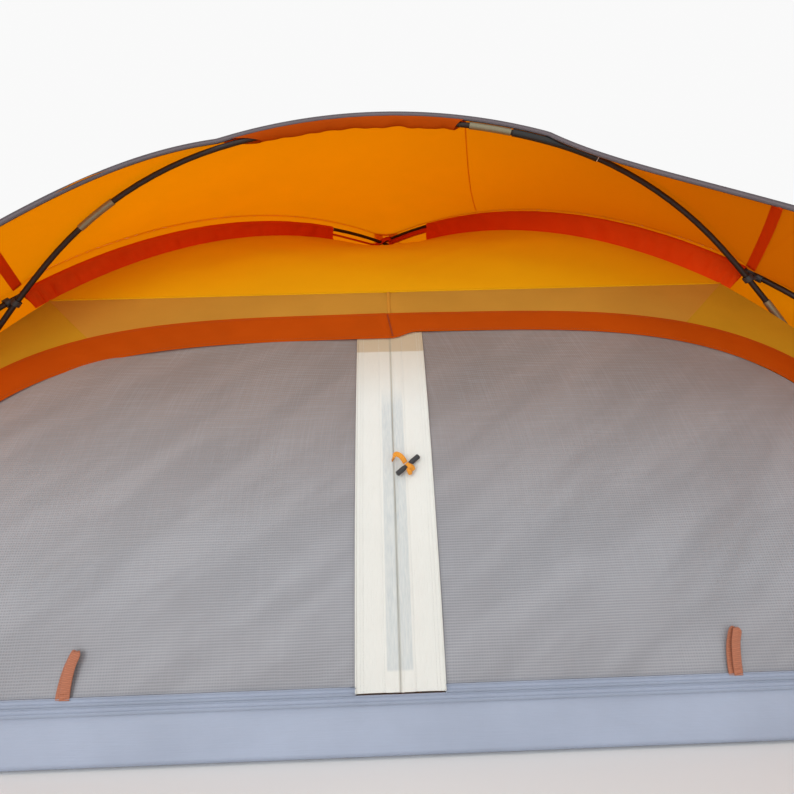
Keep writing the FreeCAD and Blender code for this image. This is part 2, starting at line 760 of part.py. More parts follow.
def toggle_bar():
    """Moulded bar with rounded ends, a waist and an eye for the ribbon."""
    body = doc.addObject("PartDesign::Body", "toggle_body")
    planes = {item.Role: item for item in body.Origin.OriginFeatures}
    sketch = body.newObject("Sketcher::SketchObject", "toggle_profile")
    sketch.AttachmentSupport = [(planes["XZ_Plane"], "")]
    sketch.MapMode = "FlatFace"
    half, thick = dim("toggle_length") / 2, dim("toggle_diameter") / 2
    waist = thick - 0.7
    corners = [Vector(-half, 0, 0), Vector(-half, thick - 1.2, 0),
               Vector(-half + 1.2, thick, 0), Vector(-9, thick, 0), Vector(-7, waist, 0),
               Vector(7, waist, 0), Vector(9, thick, 0), Vector(half - 1.2, thick, 0),
               Vector(half, thick - 1.2, 0), Vector(half, 0, 0)]
    for first, last in zip(corners, corners[1:] + corners[:1]):
        sketch.addGeometry(Part.LineSegment(first, last), False)
    spin = body.newObject("PartDesign::Revolution", "toggle_spin")
    spin.Profile = sketch
    spin.ReferenceAxis = (sketch, ["H_Axis"])
    spin.Angle = 360
    eye = body.newObject("Sketcher::SketchObject", "toggle_eye_outline")
    eye.AttachmentSupport = [(planes["XY_Plane"], "")]
    eye.MapMode = "FlatFace"
    slot_half, slot_wide = 5.2, 1.3
    corners = [Vector(-slot_half, -slot_wide, 0), Vector(slot_half, -slot_wide, 0),
               Vector(slot_half, slot_wide, 0), Vector(-slot_half, slot_wide, 0)]
    for first, last in zip(corners, corners[1:] + corners[:1]):
        eye.addGeometry(Part.LineSegment(first, last), False)
    pocket = body.newObject("PartDesign::Pocket", "toggle_eye")
    pocket.Profile = eye
    pocket.Type = "ThroughAll"
    pocket.Midplane = True
    body.Placement = Placement(toggle_middle, Rotation(Vector(1, 0, 0), toggle_line))
    return keep(body, "pull_toggle")


toggle_bar()
feature("ribbon_knot", Part.makeSphere(5.0, by_wall(29, 10.5, -21)))


# ---------------------------------------------------------------- pole sleeves and tie

SLEEVE_START = math.radians(8.4)
SLEEVE_END = HUB_ANGLE - math.radians(0.7)
WEB_REACH = 28          # web below the pole's centre line
WEB_THIN = 1.2


def pole_sleeve(side, front, drop):
    """Tunnel round a crossed pole with a web hanging to the roof."""
    radius = dim("pole_arc_radius")
    centre = Vector(0, 0, cross_centre_height() - drop)
    start = cross_point(SLEEVE_START, side, 0, drop)
    tangent = Vector(side * math.cos(SLEEVE_START) / ROOT2,
                     -math.cos(SLEEVE_START) / ROOT2, -math.sin(SLEEVE_START))
    axis = tangent.cross(start - centre).normalize()
    sweep = -math.degrees(SLEEVE_END - SLEEVE_START)
    tunnel = ring_face(start, tangent, 2 * dim("sleeve_radius"), 2 * dim("sleeve_bore"))
    tunnel = tunnel.revolve(centre, axis, sweep)
    up = (start - centre).normalize()
    top = start - up * (dim("sleeve_radius") - 0.4)
    low = start - up * WEB_REACH
    half = axis * (WEB_THIN / 2)
    web = Part.Face(Part.makePolygon([top - half, top + half, low + half, low - half,
                                      top - half]))
    web = web.revolve(centre, axis, sweep)
    sleeve = tunnel.fuse(web)
    if not front:
        sleeve = sleeve.mirror(Vector(0, 0, 0), Vector(0, 1, 0))
    return sleeve.Solids[0]


for front in (True, False):
    for name, side in SIDES:
        upper = (side == RIGHT) == front
        drop = 0 if upper else dim("pole_crossing_drop")
        place = "front" if front else "rear"
        feature(f"sleeve_{place}_{name}", pole_sleeve(side, front, drop))


TIE_WIDE = 8
TIE_THIN = 1.2
TIE_PLAY = 0.5


def crossing_tie():
    """Ribbon tied round both poles where they cross: an upright ring facing the door."""
    half = dim("pole_diameter") / 2 + TIE_PLAY
    side = TIE_WIDE / 2 + half * ROOT2
    low = dim("apex_height") - dim("pole_crossing_drop") - half
    tall = dim("pole_crossing_drop") + 2 * half
    outer = Part.makeBox(2 * (side + TIE_THIN), TIE_WIDE, tall + 2 * TIE_THIN,
                         Vector(-side - TIE_THIN, -TIE_WIDE / 2, low - TIE_THIN))
    inner = Part.makeBox(2 * side, 2 * TIE_WIDE, tall, Vector(-side, -TIE_WIDE, low))
    return outer.cut(inner)


feature("crossing_tie", crossing_tie())


# ---------------------------------------------------------------- hub clips

HUB_SEARCH = 160        # steps of the search for a hub's closest points
CLIP_WALL = 4
CLIP_PLAY = 0.7
CLIP_NECK = 8
CLIP_HALF = 6


def hub_points(side, drop):
    """Closest points of the brow pole and a crossed pole's front leg, near a hub."""
    middle = math.radians(dim("brow_shoulder_angle"))
    best = None
    for step in range(HUB_SEARCH):
        slope = side * (middle + (step / HUB_SEARCH - 0.5) * 0.2)
        place = brow_point(slope)
        angle = cross_angle(place.z + drop)
        anchor = cross_point(angle, side, 0, drop)
        distance = place.distanceToPoint(anchor)
        if best is None or distance < best[0]:
            best = (distance, slope, angle)
    return best[1:]


def hub_clip(side, drop):
    """Moulded clip at a hub: one collar on the brow pole and one on a crossed pole."""
    slope, angle = hub_points(side, drop)
    outer = dim("pole_diameter") + 2 * CLIP_WALL
    inner = dim("pole_diameter") + 2 * CLIP_PLAY
    place = brow_point(slope)
    after = brow_point(slope + side * 0.001)
    along_brow = (after - place).normalize()
    anchor = cross_point(angle, side, 0, drop)
    along_cross = Vector(side * math.cos(angle) / ROOT2, -math.cos(angle) / ROOT2,
                         -math.sin(angle))
    between = anchor - place
    clip = Part.makeCylinder(CLIP_NECK / 2, between.Length, place, between)
    for middle, direction in ((place, along_brow), (anchor, along_cross)):
        clip = clip.fuse(Part.makeCylinder(outer / 2, 2 * CLIP_HALF,
                                           middle - direction * CLIP_HALF, direction))
    for middle, direction in ((place, along_brow), (anchor, along_cross)):
        clip = clip.cut(Part.makeCylinder(inner / 2, 8 * CLIP_HALF,
                                          middle - direction * 4 * CLIP_HALF, direction))
    return clip.Solids[0]


# ---------------------------------------------------------------- rainfly

FLY_TOP_ANGLE = math.radians(0.6)
CEILING_END = HUB_ANGLE - math.radians(1.6)


def fly_side(u, v):
    """Side or rear quarter of the fly, before it is turned: y is negative."""
    span = 1.9
    if v * span < 1:
        ridge = fly_ridge(blend(FLY_TOP_ANGLE, HUB_ANGLE, v * span), RIGHT, False)
    else:
        hub = fly_ridge(HUB_ANGLE, RIGHT, False)
        share = (v * span - 1) / (span - 1)
        ridge = fly_ridge(blend(hub.z, dim("fly_hem_height"), share), RIGHT, True)
    return Vector((ridge.x - GAP) * (2 * u - 1), ridge.y, ridge.z)


for name, degrees in (("right", 90), ("rear", 180), ("left", 270)):
    panel = solid_sheet(fly_side, 4, 19, Vector(0, -0.6, 1.0).normalize() * THIN)
    feature(f"fly_{name}", panel, degrees)


def fly_edge(slope):
    """Front edge of the fly just above and ahead of the brow pole."""
    return brow_point(slope, 11) + Vector(0, -dim("fly_overhang"), 0)


def ceiling_half(side):
    def point(u, v):
        ridge = fly_ridge(blend(FLY_TOP_ANGLE, CEILING_END, u), side, False)
        edge = fly_edge(brow_slope_at(max(abs(ridge.x), 0.01) * side))
        if u == 0:
            ridge.x = edge.x = side * GAP / 2
        return ridge * (1 - v) + edge * v

    return solid_sheet(point, 10, 3, Vector(0, 0, THIN))


feature("fly_front", Part.makeCompound([ceiling_half(side) for _, side in SIDES]))

WING_START = 350        # sideways place where the hem leaves the brow pole


def hem_curve(share, side):
    """Free front edge of a wing: a gentle sag from the brow pole to the front corner."""
    start = fly_edge(brow_slope_at(side * WING_START)) + Vector(0, -8, 0)
    toe = Vector(side * dim("wing_toe_side"), -dim("wing_toe_front"),
                 dim("fly_hem_height"))
    shoulder = Vector(side * 650, -900, 960)
    knee = Vector(side * 920, -1090, 650)
    rest = 1 - share
    return (start * rest ** 3 + shoulder * (3 * share * rest ** 2)
            + knee * (3 * share ** 2 * rest) + toe * share ** 3)


HUB_SIDE = 771          # sideways place where a wing turns from brow pole to fly ridge
WING_SPLIT = 0.45       # share of the hem beside the brow pole


def wing_upper(side):
    def point(u, v):
        inner = fly_edge(brow_slope_at(side * blend(WING_START, HUB_SIDE, u)))
        inner.y -= GAP
        return inner * (1 - v) + hem_curve(u * WING_SPLIT, side) * v

    return solid_sheet(point, 8, 3, Vector(0, 0, THIN))


def wing_lower(side):
    def point(u, v):
        corner = fly_edge(brow_slope_at(side * HUB_SIDE))
        corner.z -= GAP
        hub = fly_ridge(corner.z, side, True)
        inner = fly_ridge(blend(corner.z, dim("fly_hem_height"), u), side, True)
        inner += (corner - hub) * (1 - u) ** 3 + Vector(0, -3, 0)
        outer = hem_curve(blend(WING_SPLIT, 1, u), side) + Vector(0, 0, -GAP * (1 - u))
        return inner * (1 - v) + outer * v

    return solid_sheet(point, 8, 3, Vector(side * 0.7, -0.7, 0) * THIN)


for name, side in SIDES:
    feature(f"fly_wing_upper_{name}", wing_upper(side))
    feature(f"fly_wing_lower_{name}", wing_lower(side))

FRONT_SLEEVE_LEFT = -338
FRONT_SLEEVE_RIGHT = 175
feature("fly_brow_sleeve",
        brow_tube(brow_slope_at(FRONT_SLEEVE_LEFT), brow_slope_at(FRONT_SLEEVE_RIGHT),
                  2 * dim("sleeve_radius"), 2 * dim("sleeve_bore")))


# ---------------------------------------------------------------- fly straps and buckles

STRAP_REACH = 40        # how far a strap's foot stands outside its top
STRAP_FOOT = 8


def fly_corner(front, side):
    """Fly corner, and the floor ring it is strapped to."""
    if front:
        return Vector(side * dim("wing_toe_side"), -dim("wing_toe_front"),
                      dim("fly_hem_height"))
    corner = fly_ridge(dim("fly_hem_height"), side, True)
    return Vector(corner.x, -corner.y, corner.z)


def strap_solid(top, bottom, wide, thin):
    """Straight webbing between two points."""
    along = bottom - top
    across = along.cross(Vector(0, 0, 1)).normalize() * (wide / 2)
    deep = along.cross(across).normalize() * (thin / 2)
    corners = [top - across - deep, top + across - deep, top + across + deep,
               top - across + deep]
    return Part.Face(Part.makePolygon(corners + corners[:1])).extrude(along)


strap_ends = []
for front in (True, False):
    for _, side in SIDES:
        top = fly_corner(front, side) + Vector(0, 0, -2)
        out = Vector(math.copysign(1, top.x), math.copysign(1, top.y), 0).normalize()
        bottom = top + out * STRAP_REACH + Vector(0, 0, STRAP_FOOT - top.z)
        strap_ends.append((top, bottom))
feature("fly_straps", Part.makeCompound(
    [strap_solid(top, bottom, dim("strap_width"), dim("strap_thickness"))
     for top, bottom in strap_ends]))


def buckle_solid(top, bottom):
    """Ladder-lock buckle: a frame that the webbing runs through."""
    along = (bottom - top).normalize()
    middle = top + (bottom - top) * 0.45
    outer = strap_solid(middle - along * 13, middle + along * 13,
                        dim("strap_width") + 9, 6.5)
    slot = strap_solid(middle - along * 14, middle + along * 14,
                       dim("strap_width") + 1.2, dim("strap_thickness") + 1.2)
    return outer.cut(slot)


BUCKLE_NAMES = ("front_left", "front_right", "rear_left", "rear_right")
for name, (top, bottom) in zip(BUCKLE_NAMES, strap_ends):
    feature(f"buckle_{name}", buckle_solid(top, bottom))


RING_HOLE = 11
RING_WIDE = 4
RING_THICK = 4


def ground_ring(top, bottom):
    """Flat ring for a ground stake at the end of a strap."""
    out = Vector(bottom.x - top.x, bottom.y - top.y, 0).normalize()
    place = bottom + out * (RING_HOLE + RING_WIDE / 2) + Vector(0, 0, -bottom.z)
    ring = Part.makeCylinder(RING_HOLE + RING_WIDE, RING_THICK, place)
    return ring.cut(Part.makeCylinder(RING_HOLE, 3 * RING_THICK, place - Vector(0, 0, 5)))


feature("ground_rings", Part.makeCompound(
    [ground_ring(top, bottom) for top, bottom in strap_ends]))


# ---------------------------------------------------------------- door tie loops

LOOP_PLACE = {"left": 472, "right": 498}
LOOP_LOW = 88
LOOP_POINT = 152
LOOP_THIN = 1.8
LOOP_DEEP = 9           # width of the webbing, which stands on edge


def tie_loop(name, side):
    """Webbing loop on a door leaf's lower hem, standing up and pointed at its top."""
    foot = on_front(side * LOOP_PLACE[name], LOOP_LOW, 5)
    tall = LOOP_POINT - LOOP_LOW
    outer = [Vector(-10, 0, 0), Vector(-9, 0, tall * 0.6), Vector(0, 0, tall),
             Vector(9, 0, tall * 0.6), Vector(10, 0, 0)]
    inner = [Vector(10 - LOOP_THIN, 0, 0), Vector(9 - LOOP_THIN, 0, tall * 0.58),
             Vector(0, 0, tall - 2.6 * LOOP_THIN), Vector(LOOP_THIN - 9, 0, tall * 0.58),
             Vector(LOOP_THIN - 10, 0, 0)]
    outline = [foot + corner for corner in outer + inner]
    face = Part.Face(Part.makePolygon(outline + outline[:1]))
    return face.extrude(Vector(0, -LOOP_DEEP, 0))


for name, side in SIDES:
    feature(f"tie_loop_{name}", tie_loop(name, side))
feature("hub_clips", Part.makeCompound(
    [hub_clip(LEFT, dim("pole_crossing_drop")), hub_clip(RIGHT, 0)]))


# ---------------------------------------------------------------- check and write

doc.recompute()
for thing in doc.Objects:
    if "Invalid" in thing.State or "Error" in thing.State:
        raise RuntimeError(f"{thing.Name} failed: {thing.State}")
os.makedirs("parts", exist_ok=True)
for thing in kept:
    if thing.Shape.isNull() or not thing.Shape.isValid():
        raise RuntimeError(f"{thing.Label} has no valid shape")
    for solid in thing.Shape.Solids:
        if solid.Volume <= 0:
            raise RuntimeError(f"{thing.Label} has a solid with no volume")
    thing.Shape.exportStep(f"parts/{thing.Label}.step")
print(len(kept), "sub-parts written")
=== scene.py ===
"""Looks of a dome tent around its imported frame.

Metres, +Z up.  The origin is on the ground under the middle of the tent and the door faces -Y.
Every cloth panel is a curved sheet built on the same formulas as the frame, and every pole,
ferrule and fitting keeps its own shape and gets a procedural material.
"""

import math

import bmesh
import bpy
import numpy as np
from mathutils import Matrix, Vector


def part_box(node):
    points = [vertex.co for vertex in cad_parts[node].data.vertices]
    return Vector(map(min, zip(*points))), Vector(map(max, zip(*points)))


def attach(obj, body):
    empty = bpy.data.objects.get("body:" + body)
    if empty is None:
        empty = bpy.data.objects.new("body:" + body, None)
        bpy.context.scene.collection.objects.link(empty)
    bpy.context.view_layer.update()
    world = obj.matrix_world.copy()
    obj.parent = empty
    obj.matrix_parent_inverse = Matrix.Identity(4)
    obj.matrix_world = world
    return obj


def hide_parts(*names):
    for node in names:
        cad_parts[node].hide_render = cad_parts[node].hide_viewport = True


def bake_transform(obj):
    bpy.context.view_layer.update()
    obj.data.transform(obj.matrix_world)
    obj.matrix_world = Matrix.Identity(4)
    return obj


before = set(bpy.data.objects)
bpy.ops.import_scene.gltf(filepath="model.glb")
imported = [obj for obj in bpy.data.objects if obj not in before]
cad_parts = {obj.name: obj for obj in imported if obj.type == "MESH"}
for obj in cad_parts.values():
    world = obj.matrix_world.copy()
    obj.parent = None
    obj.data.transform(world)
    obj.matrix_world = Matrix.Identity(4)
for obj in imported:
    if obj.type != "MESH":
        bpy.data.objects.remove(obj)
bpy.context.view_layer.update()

ROOT2 = math.sqrt(2)
SIDES = (("left", -1), ("right", 1))
MM = 0.001

# ---------------- the tent's dimensions

TUB_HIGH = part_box("tub_floor")[1]
FLOOR_HALF = TUB_HIGH.x
SILL = TUB_HIGH.z
POLE = 0.011
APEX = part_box("cross_pole_upper_sections")[1].z - POLE / 2
POLE_RADIUS = 1.646
POLE_DROP = 0.013
BROW_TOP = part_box("brow_pole_sections")[1].z - POLE / 2
HUB_FRONT, HUB_HEIGHT = 0.806, 0.789
BROW_TILT = math.radians(6.72)
CROWN_END, SHOULDER_END = math.radians(16.16), math.radians(49.02)
CROWN_RADIUS, SHOULDER_RADIUS, LEG_RADIUS = 1.2639, 0.7783, 2.0455
SEAM_HALF, SEAM_HEIGHT = 0.754, 0.785
WALL_RADIUS = 1.900
ROOF_HEIGHT, ROOF_SAG = 1.186, 0.040
DOOR_HALF, DOOR_HEIGHT, DOOR_POWER = 0.860, 0.5904, 3.8
BAND, HEADER_HALF = 0.053, 0.620
STRIP = 0.065
FLY_OVER, FLARE_RADIUS, FLY_HEM = 0.014, 2.400, 0.150
OVERHANG, HEM_FRONT = 0.003, 0.002
WING_START, HUB_SIDE, WING_SPLIT = 0.350, 0.771, 0.45
TOE_SIDE, TOE_FRONT = 1.290, 1.400
HEM_PULLS = {-1: ((-0.693, -0.981, 0.953), (-0.845, -1.041, 0.617)),
             1: ((0.595, -0.919, 0.897), (0.931, -1.170, 0.747))}


# ---------------- the tent's curves

def stack(x, y, z):
    """Points from three arrays or numbers."""
    return np.stack(np.broadcast_arrays(x, y, z), axis=-1).astype(float)


def unit(vectors):
    """The same directions, each 1 long."""
    return vectors / np.maximum(np.linalg.norm(vectors, axis=-1, keepdims=True), 1e-9)


def run_along(path):
    """Distance from the start of a path to each of its points."""
    return np.concatenate([[0], np.cumsum(np.linalg.norm(np.diff(path, axis=0), axis=-1))])


CHORD = math.hypot(FLOOR_HALF - SEAM_HALF, SEAM_HEIGHT)
INSET = math.sqrt(WALL_RADIUS ** 2 - (CHORD / 2) ** 2)
WALL_R = (FLOOR_HALF + SEAM_HALF) / 2 - SEAM_HEIGHT / CHORD * INSET
WALL_Z = SEAM_HEIGHT / 2 - (FLOOR_HALF - SEAM_HALF) / CHORD * INSET
ROOF_REACH, ROOF_DROP = ROOT2 * SEAM_HALF, ROOF_HEIGHT - SEAM_HEIGHT
ROOF_RADIUS = (ROOF_REACH ** 2 + ROOF_DROP ** 2) / (2 * ROOF_DROP)
CROSS_Z = APEX - POLE_RADIUS
HUB_ANGLE = math.acos((HUB_HEIGHT - CROSS_Z) / POLE_RADIUS)


def wall_half(z):
    """Half width of the inner tent's bowed walls at a height."""
    return WALL_R + np.sqrt(WALL_RADIUS ** 2 - (z - WALL_Z) ** 2)


def on_front(x, z, out=0.0):
    """Point on the front wall, a distance outside its surface."""
    return stack(x, -(wall_half(z) + out), z)


def roof_edge_height(half):
    return ROOF_HEIGHT - ROOF_RADIUS + np.sqrt(ROOF_RADIUS ** 2 - 2 * half ** 2)


def cross_point(angle, side, offset=0.0):
    """Point on a crossed pole's front leg, at an angle from straight up."""
    reach = (POLE_RADIUS + offset) * np.sin(angle)
    height = CROSS_Z + (POLE_RADIUS + offset) * np.cos(angle)
    return stack(side * reach / ROOT2, -reach / ROOT2, height)


def fly_ridge_below(height, side):
    """Ridge of the fly between a hub and the hem."""
    hub = cross_point(HUB_ANGLE, side, FLY_OVER)
    slope = np.arccos(math.cos(HUB_ANGLE) - (hub[2] - height) / FLARE_RADIUS)
    reach = ROOT2 * abs(hub[0]) + FLARE_RADIUS * (np.sin(slope) - math.sin(HUB_ANGLE))
    return stack(side * reach / ROOT2, -reach / ROOT2, height)


def brow_point(slope, offset=0.0):
    """Point on the brow pole where it has this slope; three tangent arcs each side."""
    size = np.abs(slope)
    crown = np.minimum(size, CROWN_END)
    shoulder = np.clip(size, CROWN_END, SHOULDER_END)
    leg = np.maximum(size, SHOULDER_END)
    across = (CROWN_RADIUS * np.sin(crown)
              + SHOULDER_RADIUS * (np.sin(shoulder) - math.sin(CROWN_END))
              + LEG_RADIUS * (np.sin(leg) - math.sin(SHOULDER_END))
              + offset * np.sin(size))
    fall = (CROWN_RADIUS * (1 - np.cos(crown))
            + SHOULDER_RADIUS * (math.cos(CROWN_END) - np.cos(shoulder))
            + LEG_RADIUS * (math.cos(SHOULDER_END) - np.cos(leg))
            - offset * np.cos(size))
    height = BROW_TOP - fall * math.cos(BROW_TILT)
    front = HUB_FRONT + (height - HUB_HEIGHT) * math.tan(BROW_TILT)
    return stack(np.sign(slope) * across, -front, height)


SLOPES = np.linspace(0, 1.2, 1500)
SLOPE_X = brow_point(SLOPES)[:, 0]


def brow_slope_at(across):
    return np.sign(across) * np.interp(np.abs(across), SLOPE_X, SLOPES)


def fly_edge(across):
    """Fly just above and ahead of the brow pole."""
    return brow_point(brow_slope_at(across), POLE) + stack(0, -OVERHANG, 0)


def hem_curve(share, side):
    """Free front edge of a wing, from the brow pole to the front corner."""
    share = np.asarray(share, float)[..., None]
    start = fly_edge(side * WING_START) + stack(0, -HEM_FRONT, 0)
    shoulder, knee = (np.array(pull) for pull in HEM_PULLS[side])
    toe = stack(side * TOE_SIDE, -TOE_FRONT, FLY_HEM)
    rest = 1 - share
    return (start * rest ** 3 + shoulder * (3 * share * rest ** 2)
            + knee * (3 * share ** 2 * rest) + toe * share ** 3)


def door_outline(turn, grow=0.0):
    """Door edge as (x, z): turn 0 is the top and +-90 degrees the sill ends."""
    power = 2 / DOOR_POWER
    x = np.sign(turn) * (DOOR_HALF + grow) * np.abs(np.sin(turn)) ** power
    z = SILL + (DOOR_HEIGHT + grow) * np.abs(np.cos(turn)) ** power
    return x, z


BEND = DOOR_POWER / 2
QUARTER = np.linspace(0, 1, 3000)
QUARTER_TURNS = math.pi / 2 * QUARTER ** BEND / (QUARTER ** BEND + (1 - QUARTER) ** BEND)
QUARTER_RUN = run_along(np.stack(door_outline(QUARTER_TURNS), -1))


def even_turn(share):
    """Turn at a share of the way along the door's edge, from its top to a sill end."""
    size = np.interp(np.abs(share), QUARTER_RUN / QUARTER_RUN[-1], QUARTER_TURNS)
    return np.sign(share) * size


def turned(points, yaw):
    """Points turned about the tent's middle, in degrees."""
    c, s = math.cos(math.radians(yaw)), math.sin(math.radians(yaw))
    return points @ np.array([[c, s, 0], [-s, c, 0], [0, 0, 1]])


def mix(first, last, share):
    return first + (last - first) * share


def fade(share, width=0.12):
    """0 at both ends and 1 in between."""
    near = np.clip(np.minimum(share, 1 - share) / width, 0, 1)
    return near * near * (3 - 2 * near)


def arch(count):
    """Half a wave in so many steps: 0 at both ends and 1 in the middle."""
    return np.sin(np.linspace(0, math.pi, count))


def ripple(seed, x, y, wave, lean=0.0, spread=0.5, count=7):
    """Smooth uneven folds whose crests lie square to the lean, about 1 high."""
    rng = np.random.default_rng(seed)
    total = np.zeros(np.broadcast(x, y).shape)
    for _ in range(count):
        angle = lean + rng.normal(0, spread)
        pace = 2 * math.pi / (wave * rng.uniform(0.6, 1.6))
        total += np.sin(pace * (x * math.cos(angle) + y * math.sin(angle))
                        + rng.uniform(0, 2 * math.pi))
    return total / math.sqrt(count)


def creases(seed, x, y, wave, lean, sharp=3.0):
    """Narrow pulled creases: the crests of a ripple, sharpened."""
    folds = ripple(seed, x, y, wave, lean, 0.12, 4)
    return np.exp(-sharp * (folds - 0.9) ** 2) - 0.3


# ---------------- meshes

MERGE_GAP = 0.0012     # grid points closer than this are joined into one


def rows_and_columns(across, along):
    return np.meshgrid(np.linspace(0, 1, across + 1), np.linspace(0, 1, along + 1),
                       indexing="ij")


def surface_normals(points):
    return unit(np.cross(np.gradient(points, axis=0), np.gradient(points, axis=1)))


def linked(name, data):
    thing = bpy.data.objects.new(name, data)
    bpy.context.scene.collection.objects.link(thing)
    return thing


def mesh_object(name, vertices, faces, uvs=None):
    mesh = bpy.data.meshes.new(name)
    mesh.from_pydata([tuple(v) for v in vertices], [], faces)
    if uvs is not None:
        layer = mesh.uv_layers.new(name="UVMap")
        corner_vertex = np.zeros(len(mesh.loops), int)
        mesh.loops.foreach_get("vertex_index", corner_vertex)
        layer.data.foreach_set("uv", np.asarray(uvs, float)[corner_vertex].ravel())
    mesh.polygons.foreach_set("use_smooth", [True] * len(mesh.polygons))
    mesh.update()
    return linked(name, mesh)


def grid_faces(across, along, first=0):
    wide = along + 1
    return [(first + i * wide + j, first + (i + 1) * wide + j,
             first + (i + 1) * wide + j + 1, first + i * wide + j + 1)
            for i in range(across) for j in range(along)]


def grid_uv(points):
    """Texture coordinates in metres along the cloth."""
    step_u = np.linalg.norm(np.diff(points, axis=0), axis=-1)
    step_v = np.linalg.norm(np.diff(points, axis=1), axis=-1)
    wide = np.concatenate([np.zeros((1, points.shape[1])), np.cumsum(step_u, axis=0)])
    tall = np.concatenate([np.zeros((points.shape[0], 1)), np.cumsum(step_v, axis=1)], 1)
    wide = wide - wide[-1:] / 2
    return np.stack([wide, tall], -1)


def grid_object(name, points):
    """Sheet through a grid of points."""
    across, along = points.shape[0] - 1, points.shape[1] - 1
    return mesh_object(name, points.reshape(-1, 3), grid_faces(across, along),
                       grid_uv(points).reshape(-1, 2))


def merged(name, parts):
    """Several grids joined into one continuous sheet."""
    vertices, faces, uvs = [], [], []
    for points in parts:
        faces += grid_faces(points.shape[0] - 1, points.shape[1] - 1, len(vertices))
        vertices += list(points.reshape(-1, 3))
        uvs += list(grid_uv(points).reshape(-1, 2))
    thing = mesh_object(name, vertices, faces, uvs)
    work = bmesh.new()
    work.from_mesh(thing.data)
    bmesh.ops.remove_doubles(work, verts=work.verts, dist=MERGE_GAP)
    work.to_mesh(thing.data)
    work.free()
    return thing


def tube_along(name, path, section, up=None):
    """Section (pairs: sideways, up) swept along a path of points."""
    path, section = np.asarray(path, float), np.asarray(section, float)
    tangent = unit(np.gradient(path, axis=0))
    up = np.broadcast_to(np.asarray((0, 0, 1) if up is None else up, float), path.shape)
    side = unit(np.cross(tangent, up))
    top = np.cross(side, tangent)
    points = (path[:, None, :] + side[:, None, :] * section[None, :, 0:1]
              + top[:, None, :] * section[None, :, 1:2])
    rows, count = len(path), len(section)
    faces = [(i * count + j, i * count + (j + 1) % count,
              (i + 1) * count + (j + 1) % count, (i + 1) * count + j)
             for i in range(rows - 1) for j in range(count)]
    faces.append(tuple(range(count - 1, -1, -1)))
    faces.append(tuple((rows - 1) * count + j for j in range(count)))
    run, around = run_along(path), run_along(np.vstack([section, section[:1]]))[1:]
    uvs = [(around[j], run[i]) for i in range(rows) for j in range(count)]
    return mesh_object(name, points.reshape(-1, 3), faces, uvs)


def flat_section(wide, thick):
    """Flattened section with rounded edges, for tape and webbing."""
    w, t = wide / 2, thick / 2
    return [(-w, -t * 0.5), (-w + t, -t), (w - t, -t), (w, -t * 0.5),
            (w, t * 0.5), (w - t, t), (-w + t, t), (-w, t * 0.5)]


def resampled(path, pitch):
    """Points evenly spaced along a path."""
    path = np.asarray(path, float)
    run = run_along(path)
    places = np.linspace(0, run[-1], max(int(round(run[-1] / pitch)), 2) + 1)
    return np.stack([np.interp(places, run, path[:, k]) for k in range(3)], -1)


def smooth_path(places, count=40):
    """Smooth curve through a few places."""
    places = np.array(places, float)
    ghost = np.vstack([2 * places[0] - places[1], places, 2 * places[-1] - places[-2]])
    path = []
    for k in range(len(places) - 1):
        a, b, c, d = ghost[k:k + 4]
        for t in np.arange(0, 1, (len(places) - 1) / count):
            path.append(0.5 * (2 * b + (c - a) * t + (2 * a - 5 * b + 4 * c - d) * t ** 2
                               + (3 * b - a - 3 * c + d) * t ** 3))
    return np.array(path + [places[-1]])


def round_section(radius, count=16):
    return [(radius * math.sin(2 * math.pi * k / count),
             radius * math.cos(2 * math.pi * k / count)) for k in range(count)]


def across_grid(points, start, end, count):
    """Path over a grid of points between two (u, v) places."""
    places = []
    for step in range(count + 1):
        u = mix(start[0], end[0], step / count) * (points.shape[0] - 1)
        v = mix(start[1], end[1], step / count) * (points.shape[1] - 1)
        i, j = min(int(u), points.shape[0] - 2), min(int(v), points.shape[1] - 2)
        a, b = u - i, v - j
        places.append(points[i, j] * (1 - a) * (1 - b) + points[i + 1, j] * a * (1 - b)
                      + points[i, j + 1] * (1 - a) * b + points[i + 1, j + 1] * a * b)
    return np.array(places)


def taper(thing, path, widths):
    """Narrow a tape about its path; widths are shares, one for each point of the path."""
    count = len(thing.data.vertices) // len(path)
    for row, (place, width) in enumerate(zip(path, widths)):
        middle = Vector(place)
        for vertex in list(thing.data.vertices)[row * count:(row + 1) * count]:
            vertex.co = middle + (vertex.co - middle) * width


STITCHES = []


def stitch(path, out, pitch=0.0042, share=0.62, thick=0.0006, cross=False):
    """A row of sewn stitches along a path, lifted by out; gathered until they are joined."""
    points = resampled(path, pitch)
    out = np.broadcast_to(np.asarray(out, float), path.shape)
    lift = np.stack([np.interp(np.linspace(0, 1, len(points)),
                               np.linspace(0, 1, len(out)), out[:, k]) for k in range(3)], -1)
    for start, end, rise in zip(points[:-1], points[1:], unit(lift)[:-1]):
        along = (end - start) * share
        side = unit(np.cross(along, rise))
        if cross:
            along, side = side * np.linalg.norm(along), unit(along)
        middle = (start + end) / 2 + rise * thick * 0.5
        low = rise * thick * 0.4
        ring = [side * thick * 0.6, rise * thick * 0.7, -side * thick * 0.6, -low]
        STITCHES.append([middle - along / 2 - low]
                        + [middle - along / 5 + r for r in ring]
                        + [middle + along / 5 + r for r in ring]
                        + [middle + along / 2 - low])


STITCH_FACES = ([(0, 1 + (k + 1) % 4, 1 + k) for k in range(4)]
                + [(1 + k, 1 + (k + 1) % 4, 5 + (k + 1) % 4, 5 + k) for k in range(4)]
                + [(9, 5 + k, 5 + (k + 1) % 4) for k in range(4)])


